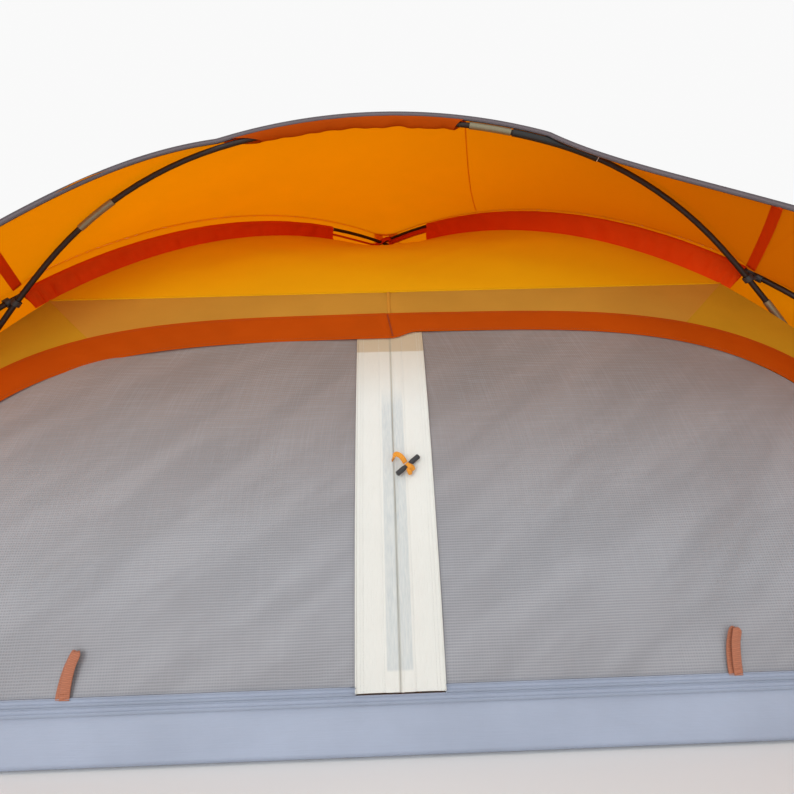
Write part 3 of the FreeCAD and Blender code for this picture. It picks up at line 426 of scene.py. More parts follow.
def stitches_done(name, look, body="root"):
    """Join the gathered stitches into one piece."""
    vertices = [p for one in STITCHES for p in one]
    faces = [tuple(10 * n + k for k in face) for n in range(len(STITCHES))
             for face in STITCH_FACES]
    STITCHES.clear()
    return dress(mesh_object(name, vertices, faces), look, body)


# ---------------- materials

def tree_of(name):
    material = bpy.data.materials.new(name)
    material.use_nodes = True
    material.node_tree.nodes.clear()
    return material, material.node_tree


def node(tree, kind, inputs, **settings):
    """New shader node; each input is a value or another node's output."""
    made = tree.nodes.new(f"ShaderNode{kind}")
    for key, value in settings.items():
        setattr(made, key, value)
    for key, value in inputs.items():
        if isinstance(value, bpy.types.NodeSocket):
            tree.links.new(value, made.inputs[key])
        else:
            made.inputs[key].default_value = value
    return made


def maths(tree, operation, first, second=0.0):
    return node(tree, "Math", {0: first, 1: second}, operation=operation).outputs[0]


def times(tree, first, second):
    return maths(tree, "MULTIPLY", first, second)


def colour_mix(tree, share, first, second, kind="MIX"):
    return node(tree, "Mix", {0: share, 6: first, 7: second}, data_type="RGBA",
                blend_type=kind).outputs[2]


def rgba(colour, scale=1.0):
    return (colour[0] * scale, colour[1] * scale, colour[2] * scale, 1.0)


def coordinates(tree, kind):
    return node(tree, "TexCoord", {}).outputs[kind]


def noise(tree, scale, detail, **inputs):
    return node(tree, "TexNoise", {"Scale": scale, "Detail": detail, **inputs}).outputs["Fac"]


def ramp(tree, value, low, high, bottom=0.0, top=1.0, kind="LINEAR"):
    """A value's range from low to high carried to bottom and top."""
    return node(tree, "MapRange", {"Value": value, "From Min": low, "From Max": high,
                                   "To Min": bottom, "To Max": top},
                interpolation_type=kind).outputs["Result"]


def rising(tree, value, low, high):
    """0 at low and 1 at high, smoothly between."""
    return ramp(tree, value, low, high, kind="SMOOTHSTEP")


def placed(tree, axis):
    """One of the piece's own coordinates, in metres: 0, 1 or 2 for x, y or z."""
    return node(tree, "SeparateXYZ", {"Vector": coordinates(tree, "Object")}).outputs[axis]


def bumped(tree, height, strength, distance):
    return node(tree, "Bump", {"Height": height, "Strength": strength,
                               "Distance": distance}).outputs[0]


def principled(tree, inputs):
    return node(tree, "BsdfPrincipled", inputs).outputs[0]


def finished(material, surface):
    node(material.node_tree, "OutputMaterial", {"Surface": surface})
    return material


WAVE_UNIT = math.pi / 10      # a wave texture of scale 1 repeats this often


def weave_height(tree, place, pitch):
    """Warp and weft as two crossing waves."""
    waves = [node(tree, "TexWave", {"Vector": place, "Scale": WAVE_UNIT / pitch,
                                    "Distortion": 0.6, "Detail": 1.0},
                  wave_type="BANDS", bands_direction=direction).outputs["Fac"]
             for direction in ("X", "Y")]
    return times(tree, *waves), waves


def slubs(tree, uv, scale):
    """Uneven yarn: noise drawn out along the threads."""
    drawn = node(tree, "Mapping", {"Vector": uv, "Scale": scale}).outputs[0]
    return noise(tree, 1.0, 2.0, Vector=drawn)


def varied(tree, colour, amount, scale=5.0):
    """Colour with soft patches a little darker and lighter."""
    patches = noise(tree, scale, 5.0, Vector=coordinates(tree, "Object"), Roughness=0.6)
    return colour_mix(tree, ramp(tree, patches, 0.3, 0.7), rgba(colour, 1 - amount),
                      rgba(colour, 1 + amount * 0.6))


def fly_shade_paint(tree, base):
    """Painted shade: the fly darker and redder towards its right, where less light falls."""
    across = placed(tree, 0)
    share = times(tree, rising(tree, across, -0.10, 0.80), rising(tree, across, 1.60, 0.85))
    # painted shade colour towards the fly's right
    return colour_mix(tree, times(tree, share, 0.75), base, rgba((0.60, 0.115, 0.0)))


def canopy_shade_paint(tree, base):
    """Painted shade: browner and darker towards the roof's lower edge."""
    share = times(tree, rising(tree, placed(tree, 2), 1.17, 0.80), 0.75)
    # painted shade colour near the roof's lower edge
    return colour_mix(tree, share, base, rgba((0.80, 0.33, 0.0)))


# the painted shade on the strip steps up at this height, where its top is doubled
SHADE_STEP = (0.6265, 0.6290)     # height where the strip's doubled top begins
TAPE_FOOT, TAPE_TOP, TAPE_EDGE = (0.108, 0.113), (0.56, 0.50), (0.0205, 0.0180)


def strip_paint(tree, base):
    """Painted shade, cream to tan, at the strip's top, stepping up where the door's top
    doubles the strip; greyer where the zip tape shows; painted shade in the middle crease.
    """
    height, beside = placed(tree, 2), maths(tree, "ABSOLUTE", placed(tree, 0))
    # painted orange-tinted shade under the canopy: a sharp step at the doubled top and a
    # softer rise above
    step_shade = times(tree, rising(tree, height, *SHADE_STEP), 0.38)
    shaded = times(tree, rising(tree, height, 0.50, 0.65), 0.42)
    base = colour_mix(tree, maths(tree, "ADD", step_shade, shaded), base,
                      rgba((0.50, 0.33, 0.15)))
    window = times(tree, rising(tree, height, *TAPE_FOOT), rising(tree, height, *TAPE_TOP))
    share = times(tree, times(tree, rising(tree, beside, *TAPE_EDGE), window),
                  maths(tree, "ADD", noise(tree, 26.0, 4.0), 0.10))
    base = colour_mix(tree, share, base, rgba((0.62, 0.67, 0.68)))
    # painted shade in the crease down the strip's middle
    crease_shade = rising(tree, beside, 0.0034, 0.0010)
    return colour_mix(tree, times(tree, crease_shade, 0.45), base, rgba((0.34, 0.32, 0.25)))


def cloth(name, colour, through=0.0, glow=None, rough=0.75, pitch=0.0011, bump=0.25,
          sheen=0.15, amount=0.10, streaks=0.10, gloss=0.35, paint=None):
    """Woven cloth; through is how much light comes from behind, tinted by glow."""
    material, tree = tree_of(name)
    uv = coordinates(tree, "UV")
    height, _ = weave_height(tree, uv, pitch)
    dark = times(tree, slubs(tree, uv, (14.0, 420.0, 1.0)), streaks * 2)
    base = colour_mix(tree, dark, varied(tree, colour, amount), rgba(colour, 0.72))
    base = colour_mix(tree, times(tree, height, 0.16), base, rgba(colour, 1.35))
    if paint:
        base = paint(tree, base)
    relief = maths(tree, "ADD", times(tree, height, 0.5),
                   times(tree, noise(tree, 34.0, 6.0), 1.4))
    normal = bumped(tree, relief, bump, 0.0012)
    surface = principled(tree, {"Base Color": base, "Roughness": rough, "Normal": normal,
                                "Sheen Weight": sheen, "Sheen Roughness": 0.4,
                                "Specular IOR Level": gloss})
    if through:
        tint = varied(tree, glow, amount * 0.6, 2.2)
        tint = colour_mix(tree, dark, tint, rgba(glow, 0.8))
        # the fly's painted shade also darkens the light that comes through it
        if paint is fly_shade_paint:
            tint = paint(tree, tint)
        behind = node(tree, "BsdfTranslucent", {"Color": tint, "Normal": normal}).outputs[0]
        surface = node(tree, "MixShader", {0: through, 1: surface, 2: behind}).outputs[0]
    return finished(material, surface)


def netting(name, colour, shaded_top_colour, pitch=0.0040, least=0.94):
    """Fine netting: threads are solid and the holes let some of the light by."""
    material, tree = tree_of(name)
    uv = coordinates(tree, "UV")
    _, waves = weave_height(tree, uv, pitch)
    thread = maths(tree, "MAXIMUM", times(tree, waves[0], 0.8), waves[1])
    x, z = placed(tree, 0), placed(tree, 2)
    # painted shade: the netting browner and darker towards its top, under the canopy
    share = times(tree, rising(tree, z, 0.22, 0.67), 0.95)
    base = colour_mix(tree, share, varied(tree, colour, 0.07, 3.0), rgba(shaded_top_colour))
    base = colour_mix(tree, thread, rgba(colour, 0.70), base)
    for scale in ((9.0, 330.0, 1.0), (330.0, 9.0, 1.0)):
        share = times(tree, rising(tree, slubs(tree, uv, scale), 0.45, 0.70), 0.07)
        base = colour_mix(tree, share, base, rgba(colour, 1.35))
    along = maths(tree, "ADD", times(tree, x, 1.7), times(tree, z, 1.1))
    across = maths(tree, "SUBTRACT", times(tree, z, 8.5), times(tree, x, 5.5))
    slanted = node(tree, "CombineXYZ", {0: along, 1: across}).outputs[0]
    fold = rising(tree, noise(tree, 1.6, 2.0, Vector=slanted), 0.36, 0.64)
    shade = colour_mix(tree, fold, rgba((0.92, 0.92, 0.92)), rgba((1.05, 1.05, 1.05)))
    return finished(material, principled(tree, {
        "Base Color": colour_mix(tree, 1.0, base, shade, "MULTIPLY"), "Roughness": 0.62,
        "Sheen Weight": 0.2, "Alpha": ramp(tree, thread, 0.35, 0.95, least),
        "Normal": bumped(tree, thread, 0.25, 0.0006)}))


def webbing(name, colour, pitch=0.0016):
    """Flat woven webbing with slanted ribs."""
    material, tree = tree_of(name)
    slant = node(tree, "Mapping", {"Vector": coordinates(tree, "UV"),
                                   "Rotation": (0, 0, 0.6)}).outputs[0]
    height, _ = weave_height(tree, slant, pitch)
    base = colour_mix(tree, height, rgba(colour, 0.75), varied(tree, rgba(colour, 1.15), 0.12))
    return finished(material, principled(tree, {
        "Base Color": base, "Roughness": 0.7, "Sheen Weight": 0.2,
        "Normal": bumped(tree, height, 0.6, 0.0008)}))


def hard(name, colour, rough, metal=0.0, grain=0.0, wear=0.25, scale=60.0):
    """Metal, plastic or painted surface with small scuffs and uneven gloss."""
    material, tree = tree_of(name)
    place = coordinates(tree, "Object")
    scuffs = noise(tree, scale, 6.0, Vector=place, Roughness=0.7)
    fine = noise(tree, scale * 14, 3.0, Vector=place)
    return finished(material, principled(tree, {
        "Base Color": colour_mix(tree, scuffs, rgba(colour, 1 - wear), rgba(colour, 1 + wear)),
        "Roughness": ramp(tree, scuffs, 0.3, 0.7, max(rough - 0.10, 0.05), rough + 0.14),
        "Metallic": metal, "Normal": bumped(tree, fine, 0.12 + grain, 0.0004)}))


MATT = {"sheen": 0.0, "gloss": 0.12}
FLY_CLOTH = ((0.88, 0.265, 0.0), 0.46, (0.89, 0.285, 0.0), 0.6)
LOOKS = {
    "fly": cloth("fly_cloth", *FLY_CLOTH, **MATT),
    # fly_front carries painted shade towards its right
    "fly_front": cloth("fly_front_cloth", *FLY_CLOTH, paint=fly_shade_paint, **MATT),
    "canopy": cloth("canopy_cloth", (0.90, 0.53, 0.0), 0.12, (1.0, 0.98, 0.0),
                    paint=canopy_shade_paint, **MATT),
    "corner": cloth("corner_cloth", (0.60, 0.30, 0.012), 0.20, (0.9, 0.6, 0.02), **MATT),
    "header": cloth("header_cloth", (0.70, 0.33, 0.040), 0.35, (0.92, 0.55, 0.05), **MATT),
    "band": cloth("band_cloth", (0.52, 0.071, 0.0), 0.18, (0.9, 0.15, 0.0), bump=0.4,
                  sheen=0.0, gloss=0.08),
    "sleeve": cloth("sleeve_cloth", (0.80, 0.062, 0.0), 0.24, (1.0, 0.11, 0.0), bump=0.4,
                    **MATT),
    # the netting's second colour is painted shade at its top
    "mesh": netting("door_netting", (0.340, 0.345, 0.372), (0.190, 0.108, 0.062)),
    "strip": cloth("strip_cloth", (0.91, 0.91, 0.855), 0.10, (0.8, 0.8, 0.77), rough=0.6,
                   bump=0.6, amount=0.04, streaks=0.04, paint=strip_paint),
    "tape": cloth("zip_tape_cloth", (0.70, 0.74, 0.73), pitch=0.0016, amount=0.03),
    "coil": hard("zip_coil_nylon", (0.72, 0.74, 0.74), 0.35, wear=0.06),
    "tub": cloth("tub_cloth", (0.40, 0.455, 0.575), 0.06, (0.4, 0.46, 0.58), rough=0.5),
    "hem": cloth("hem_tape", (0.155, 0.128, 0.140), pitch=0.0014, rough=0.8),
    "thread": cloth("thread_orange", (0.42, 0.10, 0.01), pitch=0.0005, sheen=0.3),
    "pale_thread": cloth("thread_white", (0.80, 0.80, 0.78), pitch=0.0005, sheen=0.3),
    "red_thread": cloth("thread_red", (0.26, 0.03, 0.005), pitch=0.0005, sheen=0.3),
    "webbing": webbing("orange_brown_webbing", (0.50, 0.17, 0.085)),
    "ribbon": webbing("orange_ribbon", (0.95, 0.36, 0.015), 0.0011),
    "pole": hard("glass_fibre_pole", (0.016, 0.005, 0.002), 0.55, wear=0.35),
    "guard": hard("black_grip", (0.012, 0.012, 0.012), 0.5),
    "ferrule": hard("ferrule_steel", (0.27, 0.235, 0.15), 0.45, metal=0.6, wear=0.12),
    "steel": hard("plated_steel", (0.55, 0.55, 0.54), 0.30, metal=1.0, wear=0.10),
    "brass": hard("eyelet_brass", (0.70, 0.52, 0.22), 0.32, metal=1.0, wear=0.12),
    "cord": webbing("shock_cord_sheath", (0.80, 0.80, 0.77), 0.0008),
    "plastic": hard("moulded_charcoal", (0.030, 0.030, 0.033), 0.48, grain=0.2, wear=0.2),
    "paint": hard("slider_paint", (0.75, 0.75, 0.73), 0.35, wear=0.05),
}


def dress(thing, look, body="root", nodes=()):
    """Give a new piece its material, slot and body, and hide the imported nodes it stands for.
    """
    thing.data.materials.clear()
    thing.data.materials.append(LOOKS[look])
    if nodes:
        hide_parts(*nodes)
    if body:
        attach(thing, body)
    return thing


def sheet(thing):
    """Return a cloth panel as it is."""
    return thing


def panel(name, points, look, stands_for,
          body="root"):
    """Cloth sheet through a grid of points, dressed."""
    thing = dress(grid_object(name, points), look, body, (stands_for,))
    return sheet(thing)


def tube(name, path, section, look, up=None, body="root", nodes=()):
    """Seam, tape or ribbon swept along a path, and dressed."""
    return dress(tube_along(name, path, section, up), look, body, nodes)


# ---------------- camera, floor and light

FOCAL_SHARE = 0.6244           # focal length over the image's width
SENSOR = 36.0
CAMERA_PLACE = (-0.0042, -1.8355, 0.4298)
CAMERA_PITCH, CAMERA_YAW, CAMERA_ROLL = 6.236, 0.877, -1.760
FLOOR_REACH, FLOOR_LEVEL = 14.0, -0.0005
WORLD_LIGHT = 0.95
LAMPS = (("top_light", (-1.3, 0.9, 4.0), (0, -0.2, 0.9), 2.6, 42),
         ("front_light", (-1.8, -4.5, 1.5), (0, -1.0, 0.3), 2.4, 46))


def add_camera():
    data = bpy.data.cameras.new("camera")
    data.sensor_width = SENSOR
    data.lens = SENSOR * FOCAL_SHARE
    data.clip_start = 0.05
    thing = linked("camera", data)
    turn = Matrix.Rotation(math.radians(-CAMERA_YAW), 4, "Z")
    tilt = Matrix.Rotation(math.radians(90 + CAMERA_PITCH), 4, "X")
    roll = Matrix.Rotation(math.radians(CAMERA_ROLL), 4, "Z")
    thing.matrix_world = Matrix.Translation(CAMERA_PLACE) @ turn @ tilt @ roll
    bpy.context.scene.camera = thing


def add_lamps():
    for name, place, aim, size, power in LAMPS:
        data = bpy.data.lights.new(name, "AREA")
        data.shape = "DISK"
        data.size = size
        data.energy = power
        lamp = linked(name, data)
        lamp.location = place
        lamp.rotation_euler = (Vector(aim) - Vector(place)).to_track_quat("-Z", "Y").to_euler()


def add_stage():
    corners = [(x * FLOOR_REACH, y * FLOOR_REACH, FLOOR_LEVEL)
               for x, y in ((-1, -1), (1, -1), (1, 1), (-1, 1))]
    floor = mesh_object("floor", corners, [(0, 1, 2, 3)])
    material, tree = tree_of("pale_floor")
    floor.data.materials.append(finished(material, principled(
        tree, {"Base Color": (0.80, 0.80, 0.79, 1), "Roughness": 0.9})))
    world = bpy.data.worlds.new("studio")
    bpy.context.scene.world = world
    world.use_nodes = True
    background = world.node_tree.nodes["Background"]
    background.inputs[0].default_value = (1.0, 1.0, 1.0, 1)
    background.inputs[1].default_value = WORLD_LIGHT
    add_lamps()
    bpy.context.scene.view_settings.view_transform = "Standard"


add_camera()
add_stage()


# ---------------- rainfly

FLY_TOP = 0.010                # where the fly's panels begin, in radians from straight up
CEILING_END = HUB_ANGLE - math.radians(0.6)
FLY_HUB = float(cross_point(HUB_ANGLE, 1, FLY_OVER)[2])
FLY_GRID = (150, 60)
EDGE_ROW = 0.6                 # share of the front panel's rows that end at the brow pole
QUARTER_SPLIT = 0.53           # share of a quarter's rows that end at the hubs
RIDGE_LIFT = 0.0022


def ceiling_points():
    """Fly from the ridges forward to the brow pole, and on out to the free hem."""
    u, v = rows_and_columns(*FLY_GRID)
    side = 2 * u - 1
    share = np.abs(side)
    middle = share < 1e-9
    ridge = cross_point(mix(FLY_TOP, CEILING_END, share), np.where(side < 0, -1, 1), FLY_OVER)
    ridge[..., 0] = np.where(middle, 0, ridge[..., 0])
    x = np.where(middle, 0.0, np.sign(side) * mix(0.006, HUB_SIDE, share))
    edge = fly_edge(x)
    wing = np.clip((np.abs(x) - WING_START) / (HUB_SIDE - WING_START), 0, 1) * WING_SPLIT
    hem = np.where((np.abs(x) > WING_START)[..., None],
                   np.where((x > 0)[..., None], hem_curve(wing, 1), hem_curve(wing, -1)),
                   edge + stack(0, -HEM_FRONT, 0))
    inner = np.clip(v / EDGE_ROW, 0, 1)
    outer = np.clip((v - EDGE_ROW) / (1 - EDGE_ROW), 0, 1)
    points = mix(mix(ridge, edge, inner[..., None]), hem, outer[..., None])
    hanging = np.sin(math.pi * inner) * (v < EDGE_ROW)
    points[..., 2] -= 0.020 * hanging * (1 - share ** 6)
    folds = (ripple(11, points[..., 0], points[..., 1], 0.42, 0.2, 0.5) * 0.0022
             + creases(12, points[..., 0], points[..., 1], 0.22, 0.5) * 0.0012)
    points[..., 2] += folds * hanging
    flap = ripple(13, points[..., 0], points[..., 2], 0.30, 0.3, 0.4) * 0.004
    points[..., 1] += flap * outer * (wing > 0.03)
    return points


def wing_root(share, side):
    """Inner edge of a wing, from the end of the brow pole's arch down to the hem."""
    corner = fly_edge(side * HUB_SIDE)
    line = fly_ridge_below(mix(corner[2], FLY_HEM, share), side)
    offset = corner - fly_ridge_below(corner[2], side)
    return line + offset * ((1 - share) ** 3)[..., None]


def gusset_points(side):
    """Cloth that closes the corner between a wing's root and the fly's ridge."""
    u, v = rows_and_columns(60, 5)
    return mix(fly_ridge_below(mix(FLY_HUB, FLY_HEM, u), side), wing_root(u, side),
               v[..., None])


def lower_wing_points(side):
    u, v = rows_and_columns(60, 24)
    points = mix(wing_root(u, side), hem_curve(mix(WING_SPLIT, 1, u), side), v[..., None])
    swell = ripple(21 + side, points[..., 2], v * 0.4, 0.34, 0.4, 0.5) * 0.006
    points[..., 0] += side * swell * fade(v, 0.3) * fade(u, 0.15)
    points[..., 1] += 0.010 * np.sin(math.pi * v) * fade(u, 0.2)
    return points


def fly_quarter_points(u, v):
    """Side or rear quarter of the fly before it is turned: y is negative."""
    above = cross_point(mix(FLY_TOP, HUB_ANGLE, np.clip(v / QUARTER_SPLIT, 0, 1)), 1, FLY_OVER)
    fall = np.clip((v - QUARTER_SPLIT) / (1 - QUARTER_SPLIT), 0, 1)
    below = fly_ridge_below(mix(FLY_HUB, FLY_HEM, fall), 1)
    ridge = np.where((v < QUARTER_SPLIT)[..., None], above, below)
    span = np.abs(ridge[..., 0])
    inward = np.array([0, 0.55, -0.83])
    sag = 0.030 * np.sin(math.pi * u) ** 1.5 * np.clip(span / 0.6, 0, 1) * (1 - 0.6 * v)
    return ridge * stack(2 * u - 1, 1, 1) + inward * sag[..., None]


def add_fly():
    parts = [ceiling_points()]
    for part in (lower_wing_points, gusset_points):
        parts += [part(side)[::side] for _, side in SIDES]
    front = dress(merged("fly_canopy_front", parts), "fly_front",
                  nodes=("fly_front", "fly_wing_upper_left", "fly_wing_upper_right",
                         "fly_wing_lower_left", "fly_wing_lower_right"))
    sheet(front)
    u, v = rows_and_columns(70, 90)
    calm = fade(u, 0.10) * np.clip((v - 0.03) / 0.2, 0, 1)
    for name, yaw, seed in (("right", 90, 31), ("rear", 180, 32), ("left", 270, 33)):
        points = fly_quarter_points(u, v)
        folds = (ripple(seed, points[..., 0], v * 1.5, 0.5, 0.3, 0.7) * 0.004
                 + creases(seed + 40, points[..., 0], v * 1.5, 0.35, 0.9) * 0.003)
        points = points + surface_normals(points) * (folds * calm)[..., None]
        panel(f"fly_canopy_{name}", turned(points, yaw), "fly", f"fly_{name}")
        tube(f"fly_hem_{name}", resampled(turned(points[:, -1], yaw), 0.03),
             flat_section(0.0026, 0.011), "hem")


def front_hem_path():
    halves = []
    for _, side in SIDES:
        x = side * np.linspace(0.004, WING_START, 24)[:-1]
        halves.append(np.vstack([fly_edge(x) + stack(0, -HEM_FRONT, 0),
                                 hem_curve(np.linspace(0, 1, 60), side)]))
    return np.vstack([halves[0][::-1], halves[1]])


def add_fly_trim():
    tube("fly_hem_front", resampled(front_hem_path(), 0.012), flat_section(0.0032, 0.0085),
         "hem")
    for name, side in SIDES:
        above = cross_point(np.linspace(FLY_TOP, HUB_ANGLE, 50), side, FLY_OVER + RIDGE_LIFT)
        below = fly_ridge_below(np.linspace(FLY_HUB, FLY_HEM, 40)[1:], side)
        for place, flip in (("front", 1), ("rear", -1)):
            path = np.vstack([above, below * (1 + RIDGE_LIFT)]) * np.array([1, flip, 1])
            out = unit(path - np.array([0, 0, CROSS_Z]))
            tube(f"fly_ridge_{place}_{name}", path, flat_section(0.006, 0.0012), "fly",
                 out)
            across = unit(np.cross(np.gradient(path, axis=0), out))
            for shift in (-0.0021, 0.0021):
                stitch(path + across * shift + out * 0.0006, out, 0.005)
    stitches_done("fly_ridge_stitches", "thread")


def add_peak_patch():
    """Square of doubled cloth where the fly's four panels meet."""
    u, v = rows_and_columns(24, 24)
    x, y = 0.045 * (2 * u - 1), 0.045 * (2 * v - 1)
    top = CROSS_Z + POLE_RADIUS + FLY_OVER
    points = stack(x, y, top - (x ** 2 + y ** 2) / (2 * POLE_RADIUS) + 0.0026)
    dress(grid_object("fly_peak_patch", points), "fly")
    for row in (points[2], points[-3], points[:, 2], points[:, -3]):
        stitch(row, (0, 0, 1), 0.004)
    stitches_done("peak_patch_stitches", "thread")


def add_fly_underside():
    """What is sewn to the fly's underside: a seam and two tapes."""
    points = ceiling_points()
    seam = across_grid(points, (0.665, 0.03), (0.610, 0.59), 40) - np.array([0, 0, 0.0008])
    tube("fly_roof_seam", seam, flat_section(0.0022, 0.0008), "fly")
    for name, side in SIDES:
        path = across_grid(points, (0.5 + side * 0.475, 1.0), (0.5 + side * 0.4999, 0.62), 30)
        path = path + stack(-side * 0.0015, 0.0010, -0.0020)
        tube(f"wing_tape_{name}", path, flat_section(0.022, 0.0012), "sleeve",
             (side * 0.5, -0.6, 0.6))


def add_brow_sleeve():
    """Cloth tunnel that hangs from the brow pole's crown, and the ring on its guard."""
    u, v = rows_and_columns(150, 24)
    turn = 2 * math.pi * v
    low = (1 - np.cos(turn)) / 2
    x = mix(mix(-0.340, -0.262, low), mix(0.176, 0.152, low), u)
    slope = brow_slope_at(x)
    centre = brow_point(slope)
    out = (brow_point(slope, 0.01) - centre) / 0.01
    forward = np.array([0, -math.cos(BROW_TILT), math.sin(BROW_TILT)])
    hang = 1 + low ** 2 * (0.34 + 0.16 * ripple(141, x, 0 * x, 0.11, 0.0, 0.1))
    wrinkle = (ripple(142, x, v * 0.05, 0.035, 0.7, 0.3) * 0.0005
               + creases(143, x, v * 0.06, 0.05, 0.8) * 0.0006) * low
    radius = 0.0093 + wrinkle
    tunnel = (centre + out * (radius * np.cos(turn) * hang)[..., None]
              + forward * (radius * np.sin(turn))[..., None])
    panel("brow_sleeve_cloth", tunnel, "band", "fly_brow_sleeve")
    ring = brow_point(brow_slope_at(np.linspace(0.4565, 0.4595, 3)))
    tube("guard_end_ring", ring, round_section(0.0066), "pale_thread")


add_fly()
add_fly_trim()
add_fly_underside()
add_brow_sleeve()
add_peak_patch()


# ---------------- inner tent

def roof_points(u, v):
    """Roof quarter: its middle hangs below the edges under the poles."""
    half = mix(0.012, SEAM_HALF, v)
    side = 2 * u - 1
    sag = ROOF_SAG * np.sin(math.pi * half / SEAM_HALF) * (1 - side ** 2)
    return stack(half * side, -half, roof_edge_height(half) - sag + 0.001)


def wall_points(u, v):
    z = mix(SILL, SEAM_HEIGHT, v)
    return stack(wall_half(z) * (2 * u - 1), -wall_half(z), z)


def add_roof_and_walls():
    for name, yaw, seed in (("front", 0, 51), ("right", 90, 52), ("rear", 180, 53),
                            ("left", 270, 54)):
        u, v = rows_and_columns(90, 60)
        points = roof_points(u, v)
        folds = (ripple(seed, points[..., 0], v, 0.30, 0.0, 0.6) * 0.003
                 + creases(seed + 20, points[..., 0], v, 0.25, 0.8) * 0.002)
        points[..., 2] += folds * fade(u) * fade(v)
        panel(f"canopy_roof_{name}", turned(points, yaw), "canopy", f"roof_{name}")
        tube(f"roof_seam_{name}", resampled(turned(points[:, -1], yaw), 0.02),
             flat_section(0.0022, 0.0040), "canopy")
        if name == "front":
            continue
        u, v = rows_and_columns(90, 50)
        points = wall_points(u, v)
        folds = (ripple(seed + 7, points[..., 0], v * 0.7, 0.35, 0.2, 0.7) * 0.004
                 + creases(seed + 27, points[..., 0], v * 0.7, 0.3, 1.0) * 0.003)
        points[..., 1] += folds * fade(u) * fade(v)
        panel(f"canopy_wall_{name}", turned(points, yaw), "canopy", f"wall_{name}")


TURNS = np.linspace(0, 1.5, 900)
BAND_TURN = float(np.interp(HEADER_HALF, door_outline(TURNS, BAND)[0], TURNS))
BAND_INNER = BAND - 0.006      # edge of the cloth behind the band
BAND_OUT = 0.0022
LEFT_DIP = 0.011               # the band's left half is cut this much deeper
BAND_SWELL = 0.0030


def band_low(x):
    """How far the band's lower edge stands outside the door's outline."""
    rise = np.clip((x - 0.002) / 0.055, 0, 1)
    return mix(-LEFT_DIP, 0.004, rise * rise * (3 - 2 * rise))


def add_header():
    u, v = rows_and_columns(120, 16)
    side = 2 * u - 1
    turn = np.arcsin(math.sin(BAND_TURN) * np.abs(side) ** BEND)
    low_x, low_z = door_outline(turn, BAND_INNER)
    z = mix(low_z, SEAM_HEIGHT, v)
    x = mix(np.sign(side) * low_x, SEAM_HALF * side, v)
    points = on_front(x, z)
    pinch = np.exp(-(x / 0.012) ** 2) * 0.0022
    folds = ripple(61, x, z, 0.16, 0.1, 0.5) * 0.0012
    points[..., 1] += pinch + folds * fade(v, 0.3)
    panel("header_cloth", points, "header", "door_header")
    seam = on_front(np.zeros(20), np.linspace(SILL + DOOR_HEIGHT + BAND, SEAM_HEIGHT, 20),
                    0.0008)
    tube("header_seam", seam, flat_section(0.006, 0.0012), "header", (0, -1, 0.4))


def add_band():
    u, v = rows_and_columns(560, 12)
    turn = even_turn(2 * u - 1)
    grow = mix(band_low(door_outline(turn)[0]), BAND, v)
    x, z = door_outline(turn, grow)
    z = np.maximum(z, SILL + 0.001)
    puff = BAND_SWELL * np.sin(math.pi * v)
    folds = ripple(71, u * 2.6, v * 0.05, 0.07, 0.5, 0.5) * 0.0010
    lift = BAND_SWELL * np.exp(-(x / 0.11) ** 4)
    lean = mix(0.006, -0.004, v)
    dart = (-0.0026 * np.exp(-((x - lean) / 0.0022) ** 2)
            + 0.0014 * np.exp(-((x - lean + 0.007) / 0.005) ** 2))
    points = on_front(x, z, BAND_OUT + lift + puff + folds * fade(v, 0.3) + dart)
    panel("band_cloth", points, "band", "door_band")
    for row in (1, 11):
        stitch(points[:, row] + stack(0, -0.0004, 0), (0, -1, 0.35), 0.0045)
    stitches_done("band_stitches", "thread")
    height = np.linspace(SILL + DOOR_HEIGHT - 0.007, SILL + DOOR_HEIGHT + BAND - 0.004, 24)
    drift = np.linspace(0.006, -0.004, 24)
    swell = BAND_SWELL * arch(24)
    for shift in (-0.0006, 0.0012):
        stitch(on_front(drift + shift, height, 0.0058 + swell), (0, -1, 0.35), 0.004,
               thick=0.0013)
    stitches_done("dart_stitches", "red_thread")


def add_front_corners():
    u, v = rows_and_columns(24, 70)
    inner_x, inner_z = door_outline(mix(math.pi / 2, BAND_TURN, v ** BEND), BAND_INNER)
    outer_z = mix(SILL, SEAM_HEIGHT, v)
    x = mix(inner_x, wall_half(outer_z), u)
    z = mix(np.maximum(inner_z, SILL + 0.001), outer_z, u)
    for name, side in SIDES:
        points = on_front(side * x, z)
        points[..., 1] += ripple(81 + side, x, z, 0.14, 0.7, 0.4) * 0.0015 * fade(u, 0.2)
        panel(f"front_corner_cloth_{name}", points[::-side], "corner",
              f"front_corner_{name}")


FLOOR_ROWS = 0.6               # share of the tub's rows that lie on the ground
TUB_POWER = 60                 # how square the tub's outline is
TUB_GAP = 0.0012               # cloth inside the tub's outer face


